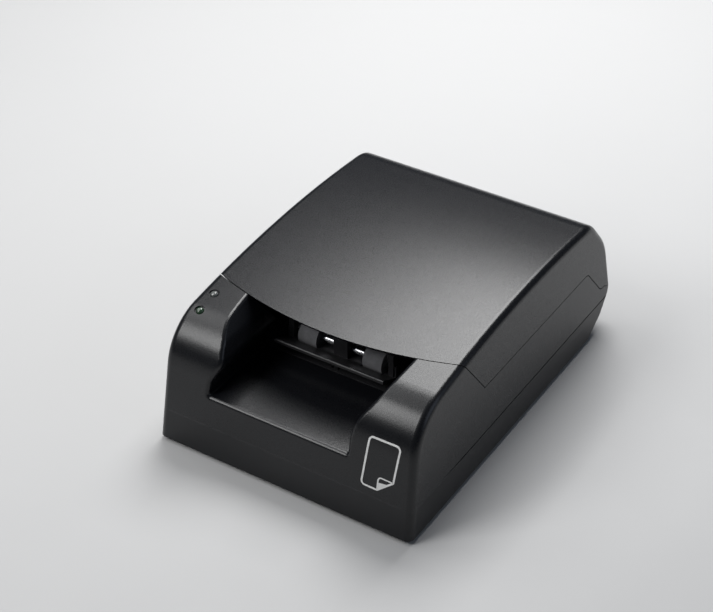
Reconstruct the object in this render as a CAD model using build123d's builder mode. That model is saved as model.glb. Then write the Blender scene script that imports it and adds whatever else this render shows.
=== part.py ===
from build123d import *

import math
import os

# Desktop card scanner with a hinged top cover, in millimetres.
# X is the width, +X to the right as seen from the card mouth, Y runs from the mouth to the rear
# and Z is up. The origin is on the table, under the middle of the case. Inside this file most
# places are given in case coordinates (x, depth, height): depth from the front edge of the case
# and height above its underside.

# Case
CASE_WIDTH = 108.2
CASE_DEPTH = 155.9
CASE_HEIGHT = 56.4
SIDE_DRAFT = 0.047
FOOT_GAP = 1.0
WALL = 2.2
EDGE_ROUND = 2.8
UNDERSIDE_CHAMFER = 0.8
FRONT_LEAN = 6.95
BROW_HEIGHT = 47.8
BROW_ROUND = 21.5
CROWN_ROUND = 439.0
CROWN_CORNER = 2.37
CROWN_STEPS = 6
REAR_EDGE_HEIGHT = 54.5
REAR_EDGE_SETBACK = 18.25
REAR_EDGE_ROUND = 14.0
REAR_WAIST_HEIGHT = 39.0
REAR_WAIST_SETBACK = 5.2
REAR_WAIST_ROUND = 25.0
REAR_BULGE_HEIGHT = 14.1
REAR_BULGE_OVERHANG = 0.747
REAR_BULGE_ROUND = 8.0
HEEL_HEIGHT = 4.8
HEEL_SETBACK = 7.45
HEEL_ROUND = 5.0
UNDERSIDE_SETBACK = 15.6

# Seams between the three casings
PARTING_HEIGHT = 13.0
PARTING_GROOVE = 0.5
PARTING_GROOVE_DEPTH = 0.6
PARTING_GROOVE_START = 22.0
PARTING_GROOVE_RUN = 12.0
COVER_SEAM_HEIGHT = 33.35
COVER_GAP = 0.35
COVER_FRONT_SIDE = 39.5
COVER_FRONT_SIDE_HEIGHT = 52.0
COVER_FRONT_BOW = 10.6
COVER_FRONT_TILT = 0.745
COVER_SLOPE_SETBACK = 21.5
COVER_TAIL_SETBACK = 9.1
COVER_TAIL_HEIGHT = 18.9
COVER_TAIL_ROUND = 4.0

# Hinge of the cover
HINGE_SETBACK = 2.9
HINGE_HEIGHT = 20.2
HINGE_BEAD_RADIUS = 2.8
HINGE_PIN_RADIUS = 1.0
HINGE_PIN_CLEARANCE = 0.05
HINGE_EAR_RADIUS = 2.4
HINGE_EAR_THICKNESS = 2.5
HINGE_EAR_CLEARANCE = 0.3
HINGE_CENTRE_X = 34.0
HINGE_SPAN = 16.0

# Card lane
LANE_CENTRE = -3.5
MOUTH_WIDTH = 59.0
BED_HEIGHT = 25.35
BED_THICKNESS = 2.0
LANE_WIDTH = 55.2
RAIL_HEIGHT = 3.5
MOUTH_TOP = 63.0
MOUTH_RIM_ROUND = 1.6
RAIL_START = 42.0
GUIDE_START = 40.3
GUIDE_CLEARANCE = 0.3
GUIDE_WALL = 2.0
GUIDE_FLANGE = 5.0
GUIDE_FLANGE_THICKNESS = 1.8
GUIDE_SCREW_FRONT = 68.0
GUIDE_SCREW_SETBACK = 34.5
GUIDE_FLANGE_START = 64.0
GUIDE_FLANGE_SETBACK = 28.5
LANE_END_SETBACK = 8.9
LANE_END_TOP = 28.35
CARD_GAP = 1.2

# Feed rollers and their drive
FRONT_FEED_DEPTH = 49.5
FEED_ROLLER_RADIUS = 6.0
FEED_ROLLER_WIDTH = 9.0
FEED_ROLLER_PROUD = 0.25
ROLLER_PITCH = 28.0
ROLLER_SLOT_CLEARANCE = 0.8
FEED_SHAFT_RADIUS = 1.5
BUSH_RADIUS = 2.6
BUSH_FLANGE_RADIUS = 3.6
BUSH_FLANGE = 0.8
RUNNING_CLEARANCE = 0.05
PRESS_CLEARANCE = 0.01
EAR_BOTTOM = 12.85
EAR_END_MARGIN = 6.0
GEAR_MODULE = 0.6
FEED_TEETH = 20
REDUCTION_SMALL_TEETH = 10
REDUCTION_LARGE_TEETH = 30
MOTOR_TEETH = 8
TOOTH_THINNING = 0.1
TOOTH_ADDENDUM = 0.8
TOOTH_DEDENDUM = 1.0
PRESSURE_ANGLE = 20.0
GEAR_PLANE = 29.9
GEAR_WIDTH = 3.4
LARGE_GEAR_PLANE = 34.1
LARGE_GEAR_WIDTH = 2.2
REDUCTION_DROP_ANGLE = -19.0
MOTOR_DROP_ANGLE = -11.0
BRACKET_PLANE = 36.9
BRACKET_THICKNESS = 1.2
BRACKET_LEAD = 7.5
BRACKET_LENGTH = 55.5
BRACKET_SCREW_X = 31.9
BRACKET_SCREW_MARGINS = (5.0, 6.5)
BRACKET_TOP = 28.3
BRACKET_FOOT_WIDTH = 10.2
BRACKET_PAD_HEIGHT = 5.0
MOTOR_RADIUS = 10.0
MOTOR_LENGTH = 11.0
MOTOR_SHAFT_RADIUS = 1.0
MOTOR_LUG_PITCH = 27.6
MOTOR_LUG_RADIUS = 3.0
MOTOR_LUG_THICKNESS = 1.0

# Reading heads
SENSOR_SPAN = 11.0
LOWER_SENSOR_WIDTH = 58.0
LOWER_SENSOR_HEIGHT = 12.0
UPPER_SENSOR_WIDTH = 40.0
UPPER_SENSOR_HEIGHT = 12.5
SENSOR_GLASS_SPAN = 8.8
LOWER_GLASS_WIDTH = 54.8
UPPER_GLASS_WIDTH = 38.0
GLASS_CLEARANCE = 0.1
GLASS_SETBACK = 0.1

# Pressure rollers above the lane
PRESS_ROLLER_RADIUS = 5.0
PRESS_ROLLER_WIDTH = 8.0
PRESS_ROLLER_GAP = 0.15
PRESS_TRAVEL = 0.9
PRESS_EAR_OFFSET = 21.5
PRESS_EAR_THICKNESS = 2.0
PRESS_EAR_TOP = 37.85
SPRING_THICKNESS = 0.4
SPRING_WIDTH = 5.0

# Upper card guide
UPPER_GUIDE_WIDTH = 46.8
UPPER_GUIDE_THICKNESS = 1.8
UPPER_GUIDE_END_SETBACK = 18.5
UPPER_GUIDE_NOSE = 37.0
UPPER_GUIDE_RAMP = 46.0
UPPER_GUIDE_RAMP_RISE = 4.4
UPPER_POST_X = 19.0
UPPER_POST_FRONT = 87.0
UPPER_POST_SETBACK = 28.5
UPPER_POST_RADIUS = 3.8
UPPER_POST_TOP = 39.85

# Fasteners and feet
SCREW_RADIUS = 1.25
SCREW_HEAD_RADIUS = 2.3
SCREW_HEAD_HEIGHT = 1.5
SCREW_HOLE_CLEARANCE = 0.03
SCREW_PASS_CLEARANCE = 0.1
SMALL_SCREW_RADIUS = 1.0
SMALL_HEAD_RADIUS = 1.9
SMALL_HEAD_HEIGHT = 1.2
BASE_SCREW_INSET = 7.4
BASE_SCREW_FRONT = 13.0
BASE_SCREW_SETBACK = 17.5
BASE_COLUMN_RADIUS = 4.3
BASE_COUNTERBORE = 6.0
FOOT_RADIUS = 5.5
FOOT_RECESS = 1.0
FOOT_INSET = 10.75
FOOT_FRONT = 26.0
FOOT_SETBACK = 30.5

# Card sensing lever
LEVER_DEPTH = 43.3
LEVER_HEIGHT = 19.35
LEVER_REACH = 7.4
LEVER_TAIL = 8.0
LEVER_THICKNESS = 1.6
LEVER_PIN_RADIUS = 0.8
SWITCH_SEAT = 5.85

# Electronics
BOARD_TOP = 5.0
BOARD_THICKNESS = 1.6
BOARD_FRONT = 84.0
BOARD_REAR_SETBACK = 15.1
BOARD_STEP_SETBACK = 25.5
BOARD_LEFT_INSET = 4.75
BOARD_WAIST_LEFT = -37.0
BOARD_RIGHT = 21.0
BOARD_TAB_RIGHT = 41.0
BOARD_TAB_LENGTH = 14.0
BOARD_SCREW_X = (-33.0, 17.0)
BOARD_SCREW_MARGIN = 4.0
BOARD_SCREW_LENGTH = 3.7
SOCKET_PANEL_SETBACK = 9.0
SOCKET_RECESS_LEFT = -21.0
SOCKET_RECESS_RIGHT = 15.0
SOCKET_RECESS_FLOOR = 4.4
SOCKET_RECESS_TOP = 11.9
USB_CENTRE_X = -12.0
USB_WIDTH = 7.7
USB_HEIGHT = 3.9
POWER_CENTRE_X = 6.5
POWER_WIDTH = 9.0
POWER_HEIGHT = 6.0
POWER_BORE_RADIUS = 1.8
SOCKET_CLEARANCE = 0.2
LIGHT_INSET = 7.9
LIGHT_DEPTHS = (27.7, 18.7)
LIGHT_RADIUS = 1.5
LIGHT_PROUD = 0.5
LIGHT_DOME = 1.1
LIGHT_RING_RADIUS = 2.05
LIGHT_RING_DROP = 0.5
LIGHT_CLEARANCE = 0.1
INDICATOR_BOARD_HEIGHT = 40.5
CABLE_RANGE = (31.6, 39.6)
CABLE_CROSSING_SETBACK = 14.3
CABLE_THICKNESS = 0.3
CONNECTOR_TOP = 7.9

# Catch of the cover
CATCH_INSET = 8.7
CATCH_DEPTH = 58.0
MAGNET_RADIUS = 3.0
MAGNET_HEIGHT = 2.0
CATCH_COLUMN = 4.45
STRIKE_HEIGHT = 1.2
STRIKE_SETBACK = 0.2

# Walls of the mouth, from the bed up: distance out from the lane's side, height and rounding
MOUTH_LEFT_WALL = [(-0.6, 30.6, 6), (-4.6, 38.4, 5), (-2.65, 44.5, 10), (1.3, 50.3, 12)]
MOUTH_LEFT_SPREAD = 6.5
MOUTH_RIGHT_WALL = [(0.0, 31.7, 14), (1.4, 38.9, 18), (6.7, 47.1, 16)]
MOUTH_RIGHT_SPREAD = 14.7
MOUTH_FLOOR_ROUND = 0.8

# Places worked out from the sizes above
FRONT = -CASE_DEPTH / 2
INDICATOR_WALL = CASE_WIDTH / 2 - SIDE_DRAFT * INDICATOR_BOARD_HEIGHT - WALL
HINGE_DEPTH = CASE_DEPTH - HINGE_SETBACK
BASE_SCREW_X = CASE_WIDTH / 2 - BASE_SCREW_INSET
BASE_SCREW_DEPTHS = (BASE_SCREW_FRONT, CASE_DEPTH - BASE_SCREW_SETBACK)
FOOT_X = CASE_WIDTH / 2 - FOOT_INSET
FOOT_DEPTHS = (FOOT_FRONT, CASE_DEPTH - FOOT_SETBACK)
CATCH_X = CASE_WIDTH / 2 - CATCH_INSET
LIGHT_X = -CASE_WIDTH / 2 + LIGHT_INSET
CABLE_CROSSING = CASE_DEPTH - CABLE_CROSSING_SETBACK
GUIDE_SCREW_DEPTHS = (GUIDE_SCREW_FRONT, CASE_DEPTH - GUIDE_SCREW_SETBACK)
UPPER_POST_DEPTHS = (UPPER_POST_FRONT, CASE_DEPTH - UPPER_POST_SETBACK)
LANE_LEFT = LANE_CENTRE - MOUTH_WIDTH / 2
LANE_RIGHT = LANE_CENTRE + MOUTH_WIDTH / 2
GUIDE_LEFT = LANE_LEFT - GUIDE_WALL
GUIDE_RIGHT = LANE_RIGHT + GUIDE_WALL
LANE_END = CASE_DEPTH - LANE_END_SETBACK
BED_UNDERSIDE = BED_HEIGHT - BED_THICKNESS
COVER_DECK = COVER_SEAM_HEIGHT - COVER_GAP
STRIKE_BOTTOM = COVER_SEAM_HEIGHT + STRIKE_SETBACK
GUIDE_TOP = COVER_DECK - WALL
FEED_AXIS = BED_HEIGHT + FEED_ROLLER_PROUD - FEED_ROLLER_RADIUS
SCREW_HEAD = (SCREW_HEAD_RADIUS, SCREW_HEAD_HEIGHT)
SMALL_HEAD = (SMALL_HEAD_RADIUS, SMALL_HEAD_HEIGHT)
SCREW_HOLE = SCREW_RADIUS + SCREW_HOLE_CLEARANCE
SMALL_SCREW_HOLE = SMALL_SCREW_RADIUS + SCREW_HOLE_CLEARANCE
SMALL_SCREW_PASS = SMALL_SCREW_RADIUS + SCREW_PASS_CLEARANCE
PRESS_AXIS = BED_HEIGHT + FEED_ROLLER_PROUD + PRESS_ROLLER_GAP + PRESS_ROLLER_RADIUS
FEED_PITCH = GEAR_MODULE * FEED_TEETH / 2
SENSOR_DEPTH = FRONT_FEED_DEPTH + 2 * FEED_PITCH
REAR_FEED_DEPTH = SENSOR_DEPTH + 2 * FEED_PITCH
FEED_DEPTHS = (FRONT_FEED_DEPTH, REAR_FEED_DEPTH)
UPPER_UNDERSIDE = BED_HEIGHT + CARD_GAP
UPPER_TOP = UPPER_UNDERSIDE + UPPER_GUIDE_THICKNESS
BOARD_BOTTOM = BOARD_TOP - BOARD_THICKNESS
BOARD_LEFT = -CASE_WIDTH / 2 + BOARD_LEFT_INSET
BOARD_REAR = CASE_DEPTH - BOARD_REAR_SETBACK
BOARD_STEP = CASE_DEPTH - BOARD_STEP_SETBACK
BRACKET_START = FRONT_FEED_DEPTH + BRACKET_LEAD
BRACKET_END = BRACKET_START + BRACKET_LENGTH
SOCKET_PANEL = CASE_DEPTH - SOCKET_PANEL_SETBACK
BRACKET_BACK = BRACKET_PLANE + BRACKET_THICKNESS
REDUCTION_PITCH = GEAR_MODULE * REDUCTION_SMALL_TEETH / 2
LARGE_PITCH = GEAR_MODULE * REDUCTION_LARGE_TEETH / 2
MOTOR_PITCH = GEAR_MODULE * MOTOR_TEETH / 2

os.makedirs("parts", exist_ok=True)


def case_point(x, depth, height):
    """A place in the part's own frame."""
    return (x, FRONT + depth, FOOT_GAP + height)


def side_plane(x):
    """Plane square to X: local x is the depth, local y the height."""
    return Plane(origin=case_point(x, 0, 0), x_dir=(0, 1, 0), z_dir=(1, 0, 0))


def level_plane(height):
    """Plane square to Z: local x is X, local y the depth."""
    return Plane(origin=case_point(0, 0, height), x_dir=(1, 0, 0), z_dir=(0, 0, 1))


def cross_plane(depth):
    """Plane square to Y, facing the rear: local x is X mirrored, local y the height."""
    return Plane(origin=case_point(0, depth, 0), x_dir=(-1, 0, 0), z_dir=(0, 1, 0))


def span(a, b):
    return (min(a, b), max(a, b))


def around(middle, half):
    return (middle - half, middle + half)


def polar(centre, radius, degrees):
    angle = math.radians(degrees)
    return (centre[0] + radius * math.cos(angle), centre[1] + radius * math.sin(angle))


def half_chord(radius, distance):
    """Half the width of a circle, at a distance from its middle."""
    return math.sqrt(radius**2 - distance**2)


def block(x_range, depth_range, height_range, mode=Mode.ADD):
    """Box between two corners in case coordinates."""
    low = case_point(x_range[0], depth_range[0], height_range[0])
    high = case_point(x_range[1], depth_range[1], height_range[1])
    size = [b - a for a, b in zip(low, high)]
    middle = [(a + b) / 2 for a, b in zip(low, high)]
    with Locations(tuple(middle)):
        Box(*size, mode=mode)


def prism(plane, corners, amount, rounds=0.0, mode=Mode.ADD):
    """Outline with rounded corners, pushed out square to its plane."""
    with BuildSketch(plane) as outline:
        with BuildLine():
            FilletPolyline(*corners, radius=rounds, close=True)
        make_face()
    extrude(outline.sketch, amount=amount, mode=mode)


def rod(start, direction, radius, length, mode=Mode.ADD):
    """Cylinder from a place in case coordinates."""
    with BuildSketch(Plane(origin=case_point(*start), z_dir=direction)) as section:
        Circle(radius)
    extrude(section.sketch, amount=length, mode=mode)


def cross_rod(x_start, depth, height, radius, length, mode=Mode.ADD):
    """Cylinder along X."""
    rod((x_start, depth, height), (1, 0, 0), radius, length, mode)


def screw(start, direction, radius, length, head_radius, head_height):
    """Pan-head screw: its head stands at start and its shank runs along direction."""
    plane = Plane(origin=case_point(*start), z_dir=direction)
    with BuildSketch(plane) as shank:
        Circle(radius)
    extrude(shank.sketch, amount=length)
    with BuildSketch(plane) as head:
        Circle(head_radius)
    extrude(head.sketch, amount=-head_height)
    with BuildSketch(plane.offset(-head_height)) as recess:
        Rectangle(head_radius * 1.2, head_radius * 0.3)
        Rectangle(head_radius * 0.3, head_radius * 1.2)
    extrude(recess.sketch, amount=head_height * 0.6, mode=Mode.SUBTRACT)


def ribbon(plane, route, rounds, thickness, width):
    """Flat cable: a thin strip along a route drawn in a side plane."""
    with BuildSketch(plane) as strip:
        with BuildLine() as path:
            FilletPolyline(*route, radius=rounds)
        trace(path.line, line_width=thickness)
    extrude(strip.sketch, amount=width)


def save(builder, name):
    builder.part.label = name
    export_step(builder.part, "parts/" + name + ".step")


# Forms shared by the casings

CASE_CORNERS = [
    (0, 0),
    (FRONT_LEAN, BROW_HEIGHT),
    (CASE_DEPTH / 2 - 4.1, CASE_HEIGHT + CROWN_CORNER),
    (CASE_DEPTH - REAR_EDGE_SETBACK, REAR_EDGE_HEIGHT),
    (CASE_DEPTH - REAR_WAIST_SETBACK, REAR_WAIST_HEIGHT),
    (CASE_DEPTH + REAR_BULGE_OVERHANG, REAR_BULGE_HEIGHT),
    (CASE_DEPTH - HEEL_SETBACK, HEEL_HEIGHT),
    (CASE_DEPTH - UNDERSIDE_SETBACK, 0),
]


def corner_turn(before, corner, after):
    """Angle by which the outline turns at a corner."""
    first = math.atan2(corner[1] - before[1], corner[0] - before[0])
    second = math.atan2(after[1] - corner[1], after[0] - corner[0])
    return abs(second - first)


def crown_radius():
    """Crown round, no larger than the sides beside it leave room for."""
    brow, crown, rear = CASE_CORNERS[1:4]
    brow_run = BROW_ROUND * math.tan(corner_turn(*CASE_CORNERS[0:3]) / 2)
    rear_run = REAR_EDGE_ROUND * math.tan(corner_turn(*CASE_CORNERS[2:5]) / 2)
    room = min(math.dist(brow, crown) - brow_run, math.dist(crown, rear) - rear_run)
    return min(CROWN_ROUND, 0.98 * room / math.tan(corner_turn(brow, crown, rear) / 2))


CROWN_RADIUS = crown_radius()
CASE_ROUNDS = [
    0,
    BROW_ROUND,
    CROWN_RADIUS,
    REAR_EDGE_ROUND,
    REAR_WAIST_ROUND,
    REAR_BULGE_ROUND,
    HEEL_ROUND,
    0,
]


def case_outline(outermost):
    """Side outline of the case. The outermost crown is a spline, which takes an even fillet."""
    outline = FilletPolyline(*CASE_CORNERS, radius=CASE_ROUNDS, close=True, mode=Mode.PRIVATE)
    for edge in outline.edges():
        if outermost and edge.geom_type == GeomType.CIRCLE and edge.radius > CROWN_RADIUS - 1:
            points = [edge.position_at(step / CROWN_STEPS) for step in range(CROWN_STEPS + 1)]
            Spline(*points, tangents=[edge.tangent_at(0), edge.tangent_at(1)])
        else:
            add(edge)


def half_width(height):
    """Half the width of the case at a height: the side walls lean in towards the top."""
    return CASE_WIDTH / 2 - SIDE_DRAFT * height


def casing_form(inset):
    """The closed outer form of the case, drawn in by inset on every side."""
    low = -10
    high = CASE_HEIGHT + 20
    wide = half_width(low) - inset
    narrow = half_width(high) - inset
    with BuildPart() as form:
        with BuildSketch(side_plane(-CASE_WIDTH)):
            with BuildLine():
                case_outline(outermost=inset == 0)
            make_face()
            if inset:
                offset(amount=-inset)
        extrude(amount=2 * CASE_WIDTH)
        with BuildSketch(cross_plane(-10)) as sides:
            Polygon((-wide, low), (wide, low), (narrow, high), (-narrow, high), align=None)
        extrude(sides.sketch, amount=CASE_DEPTH + 30, mode=Mode.INTERSECT)
        floor_height = FOOT_GAP + inset
        side_edges = form.faces().filter_by(lambda face: abs(face.normal_at().X) > 0.99).edges()
        rounded = side_edges.filter_by(lambda edge: edge.center().Z > floor_height + 0.2)
        fillet(rounded, radius=max(EDGE_ROUND - inset, 1.2))
    return form.part


def cover_region(clear):
    """Everything that belongs to the cover, grown by clear at its seams."""
    above = CASE_HEIGHT + 18
    reach = CASE_WIDTH / 2 + 5
    front_radius = (CASE_WIDTH**2 / 4 + COVER_FRONT_BOW**2) / (2 * COVER_FRONT_BOW)
    bow = front_radius - math.sqrt(front_radius**2 - reach**2)
    tilt = COVER_FRONT_TILT
    middle = COVER_FRONT_SIDE - COVER_FRONT_BOW - (above - COVER_FRONT_SIDE_HEIGHT) * tilt
    middle -= clear * math.hypot(1, tilt)
    drop = above - COVER_SEAM_HEIGHT + clear
    far = CASE_DEPTH - 31.5
    hinge = (HINGE_DEPTH, HINGE_HEIGHT)
    with BuildPart() as region:
        with BuildSketch(level_plane(above)) as plan:
            with BuildLine():
                ThreePointArc((-reach, middle + bow), (0, middle), (reach, middle + bow))
                Polyline((reach, middle + bow), (reach, far), (-reach, far), (-reach, middle + bow))
            make_face()
        oblique = Vector(0, tilt, -1).normalized()
        extrude(plan.sketch, amount=drop * math.hypot(1, tilt), dir=oblique)
        with BuildSketch(side_plane(-reach)) as rear:
            with BuildLine():
                FilletPolyline(
                    (far - 5, above),
                    (CASE_DEPTH + 15, above),
                    (CASE_DEPTH + 15, HINGE_HEIGHT),
                    hinge,
                    (HINGE_DEPTH, COVER_TAIL_HEIGHT),
                    (CASE_DEPTH - COVER_TAIL_SETBACK, COVER_TAIL_HEIGHT),
                    (CASE_DEPTH - COVER_SLOPE_SETBACK, COVER_SEAM_HEIGHT),
                    (far - 5, COVER_SEAM_HEIGHT),
                    radius=[0, 0, 0, 0, 0, COVER_TAIL_ROUND, COVER_TAIL_ROUND, 0],
                    close=True,
                )
            make_face()
            if clear:
                offset(amount=clear, kind=Kind.INTERSECTION)
        extrude(rear.sketch, amount=2 * reach)
        with BuildSketch(side_plane(-reach)) as bead:
            with Locations(hinge):
                Circle(HINGE_BEAD_RADIUS + clear)
        extrude(bead.sketch, amount=2 * reach)
    return region.part


def mouth_space(grow, end_depth):
    """The scooped way in between the two cheeks, grown by grow, from the front to end_depth."""
    left = [(-LANE_LEFT + out, height) for out, height, _ in MOUTH_LEFT_WALL]
    right = [(-LANE_RIGHT - out, height) for out, height, _ in MOUTH_RIGHT_WALL]
    corners = [(-LANE_LEFT, BED_HEIGHT), *left, (-LANE_LEFT + MOUTH_LEFT_SPREAD, MOUTH_TOP)]
    corners += [(-LANE_RIGHT - MOUTH_RIGHT_SPREAD, MOUTH_TOP), *right[::-1], (-LANE_RIGHT, BED_HEIGHT)]
    left_rounds = [rounding for _, _, rounding in MOUTH_LEFT_WALL]
    right_rounds = [rounding for _, _, rounding in MOUTH_RIGHT_WALL]
    rounds = [MOUTH_FLOOR_ROUND, *left_rounds, 0, 0, *right_rounds[::-1], MOUTH_FLOOR_ROUND]
    with BuildPart() as space:
        with BuildSketch(cross_plane(-8)) as outline:
            with BuildLine():
                FilletPolyline(*corners, radius=rounds, close=True)
            make_face()
            if grow:
                offset(amount=grow)
        extrude(outline.sketch, amount=end_depth + 8)
    return space.part


case_outside = casing_form(0)
case_inside = casing_form(WALL)
cover_space = cover_region(COVER_GAP)
cover_lining = cover_region(COVER_GAP + WALL)


def brow_frame(depth):
    """Surface point and outward normal of the cheek top at a depth, as (depth, height) pairs."""
    slant = math.hypot(FRONT_LEAN, BROW_HEIGHT)
    front = (FRONT_LEAN / slant, BROW_HEIGHT / slant)
    crown = CASE_CORNERS[2]
    run = (crown[0] - FRONT_LEAN, crown[1] - BROW_HEIGHT)
    length = math.hypot(*run)
    top = (run[0] / length, run[1] / length)
    turn = math.atan2(front[1], front[0]) - math.atan2(top[1], top[0])
    tangent = BROW_ROUND * math.tan(turn / 2)
    start = (FRONT_LEAN + top[0] * tangent, BROW_HEIGHT + top[1] * tangent)
    centre = (start[0] + top[1] * BROW_ROUND, start[1] - top[0] * BROW_ROUND)
    if depth >= start[0]:
        height = start[1] + (depth - start[0]) * top[1] / top[0]
        return (depth, height), (-top[1], top[0])
    height = centre[1] + math.sqrt(BROW_ROUND**2 - (depth - centre[0]) ** 2)
    return (depth, height), ((depth - centre[0]) / BROW_ROUND, (height - centre[1]) / BROW_ROUND)


# Base tray: the shallow lower casing that carries the board, the drive and the feet

BASE_SCREW_PLACES = [(side * BASE_SCREW_X, depth) for side in (-1, 1) for depth in BASE_SCREW_DEPTHS]
FOOT_PLACES = [(side * FOOT_X, depth) for side in (-1, 1) for depth in FOOT_DEPTHS]
BOARD_SCREW_DEPTHS = (BOARD_FRONT + BOARD_SCREW_MARGIN, BOARD_STEP - BOARD_SCREW_MARGIN)
BOARD_SCREW_PLACES = [(x, depth) for x in BOARD_SCREW_X for depth in BOARD_SCREW_DEPTHS]
BRACKET_SCREW_PLACES = [
    (BRACKET_SCREW_X, BRACKET_START + BRACKET_SCREW_MARGINS[0]),
    (BRACKET_SCREW_X, BRACKET_END - BRACKET_SCREW_MARGINS[1]),
]

with BuildPart() as tray_hollow:
    add(case_inside)
    block(
        (SOCKET_RECESS_LEFT - WALL, SOCKET_RECESS_RIGHT + WALL),
        (SOCKET_PANEL - WALL, CASE_DEPTH + 5),
        (0, PARTING_HEIGHT + 1),
        mode=Mode.SUBTRACT,
    )

with BuildPart() as base_tray:
    add(case_outside)
    bottom_edges = base_tray.faces().sort_by(Axis.Z)[0].edges()
    chamfer(bottom_edges, length=UNDERSIDE_CHAMFER)
    add(tray_hollow.part, mode=Mode.SUBTRACT)
    block((-80, 80), (-20, CASE_DEPTH + 20), (PARTING_HEIGHT, CASE_HEIGHT + 20), mode=Mode.SUBTRACT)
    for x, depth in BASE_SCREW_PLACES:
        rod((x, depth, WALL / 2), (0, 0, 1), BASE_COLUMN_RADIUS, PARTING_HEIGHT - WALL / 2)
    for x, depth in BOARD_SCREW_PLACES:
        rod((x, depth, WALL / 2), (0, 0, 1), 2.6, BOARD_BOTTOM - WALL / 2)
    for x, depth in BRACKET_SCREW_PLACES:
        rod((x, depth, WALL / 2), (0, 0, 1), 3.2, BRACKET_PAD_HEIGHT - WALL / 2)
    block(around(LANE_CENTRE, 3.4), around(LEVER_DEPTH, 3), (WALL / 2, SWITCH_SEAT))
    block(
        (SOCKET_RECESS_LEFT, SOCKET_RECESS_RIGHT),
        (SOCKET_PANEL, CASE_DEPTH + 5),
        (SOCKET_RECESS_FLOOR, SOCKET_RECESS_TOP),
        mode=Mode.SUBTRACT,
    )
    block(
        around(USB_CENTRE_X, USB_WIDTH / 2 + SOCKET_CLEARANCE),
        (SOCKET_PANEL - WALL - 1, SOCKET_PANEL + 1),
        (BOARD_TOP - SOCKET_CLEARANCE, BOARD_TOP + USB_HEIGHT + SOCKET_CLEARANCE),
        mode=Mode.SUBTRACT,
    )
    block(
        around(POWER_CENTRE_X, POWER_WIDTH / 2 + SOCKET_CLEARANCE),
        (SOCKET_PANEL - WALL - 1, SOCKET_PANEL + 1),
        (BOARD_TOP - SOCKET_CLEARANCE, BOARD_TOP + POWER_HEIGHT + SOCKET_CLEARANCE),
        mode=Mode.SUBTRACT,
    )
    # shadow groove under the parting line, running out towards the front
    with BuildSketch(side_plane(-CASE_WIDTH / 2 - 1)) as groove:
        Polygon(
            (PARTING_GROOVE_START, PARTING_HEIGHT + 0.01),
            (PARTING_GROOVE_START + PARTING_GROOVE_RUN, PARTING_HEIGHT - PARTING_GROOVE),
            (CASE_DEPTH + 2, PARTING_HEIGHT - PARTING_GROOVE),
            (CASE_DEPTH + 2, PARTING_HEIGHT + 0.01),
            align=None,
        )
    groove_ring = extrude(groove.sketch, amount=CASE_WIDTH + 2, mode=Mode.PRIVATE)
    groove_ring = groove_ring - casing_form(PARTING_GROOVE_DEPTH)
    add(groove_ring, mode=Mode.SUBTRACT)
    for x, depth in BASE_SCREW_PLACES:
        rod((x, depth, -1), (0, 0, 1), SCREW_RADIUS + 0.15, PARTING_HEIGHT + 2, mode=Mode.SUBTRACT)
        rod((x, depth, -1), (0, 0, 1), SCREW_HEAD_RADIUS + 0.4, BASE_COUNTERBORE + 1, mode=Mode.SUBTRACT)
    for x, depth in BOARD_SCREW_PLACES + BRACKET_SCREW_PLACES:
        rod((x, depth, WALL / 2), (0, 0, 1), SMALL_SCREW_HOLE, 6, mode=Mode.SUBTRACT)
    for x, depth in FOOT_PLACES:
        rod((x, depth, -1), (0, 0, 1), FOOT_RADIUS + 0.05, FOOT_RECESS + 1, mode=Mode.SUBTRACT)
    with BuildSketch(level_plane(-1)) as vents:
        with Locations((0, 62), (0, 104)):
            with GridLocations(6.0, 0, 7, 1):
                SlotOverall(26, 2.2, rotation=90)
    extrude(vents.sketch, amount=WALL + 2, mode=Mode.SUBTRACT)
save(base_tray, "base_tray")


# Body shell: side walls, cheeks, front face, mouth and the deck under the cover

with BuildPart() as body_hollow:
    add(case_inside)
    add(cover_lining, mode=Mode.SUBTRACT)
    add(mouth_space(WALL, 60), mode=Mode.SUBTRACT)

LIGHT_FRAMES = [brow_frame(depth) for depth in LIGHT_DEPTHS]
EAR_OFFSETS = (HINGE_CENTRE_X - HINGE_SPAN / 2, HINGE_CENTRE_X + HINGE_SPAN / 2 - HINGE_EAR_THICKNESS)
EAR_STARTS = [start for start in EAR_OFFSETS] + [-start - HINGE_EAR_THICKNESS for start in EAR_OFFSETS]
GUIDE_SCREW_COLUMNS = (GUIDE_LEFT - GUIDE_FLANGE / 2, GUIDE_RIGHT + GUIDE_FLANGE / 2)
GUIDE_SCREW_PLACES = [(x, depth) for x in GUIDE_SCREW_COLUMNS for depth in GUIDE_SCREW_DEPTHS]
GUIDE_SCREW_LENGTH = 5.0
INDICATOR_SHELF_DEPTHS = ((16.5, 18.5), (29.5, 31.5))

with BuildPart() as hinge_ears:
    for start in EAR_STARTS:
        cross_rod(start, HINGE_DEPTH, HINGE_HEIGHT, HINGE_EAR_RADIUS, HINGE_EAR_THICKNESS)
        block(
            (start, start + HINGE_EAR_THICKNESS),
            (HINGE_DEPTH - HINGE_EAR_RADIUS, HINGE_DEPTH + HINGE_EAR_RADIUS * 0.8),
            (HINGE_HEIGHT - 6, HINGE_HEIGHT),
        )
    add(case_outside, mode=Mode.INTERSECT)


def on_mouth_rim(edge):
    """Whether an edge lies where the mouth's walls and floor meet the outside."""
    middle = edge.position_at(0.5)
    depth = middle.Y - FRONT
    height = middle.Z - FOOT_GAP
    across = abs(edge.tangent_at(0.5).X) > 0.99 and height > BED_HEIGHT + 5
    return depth < 30 and abs(middle.X) < 38 and height > BED_HEIGHT - 1 and not across


with BuildPart() as front_form:
    add(case_outside)
    add(mouth_space(0, 60), mode=Mode.SUBTRACT)
    fillet(front_form.edges().filter_by(on_mouth_rim), radius=MOUTH_RIM_ROUND)

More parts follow.
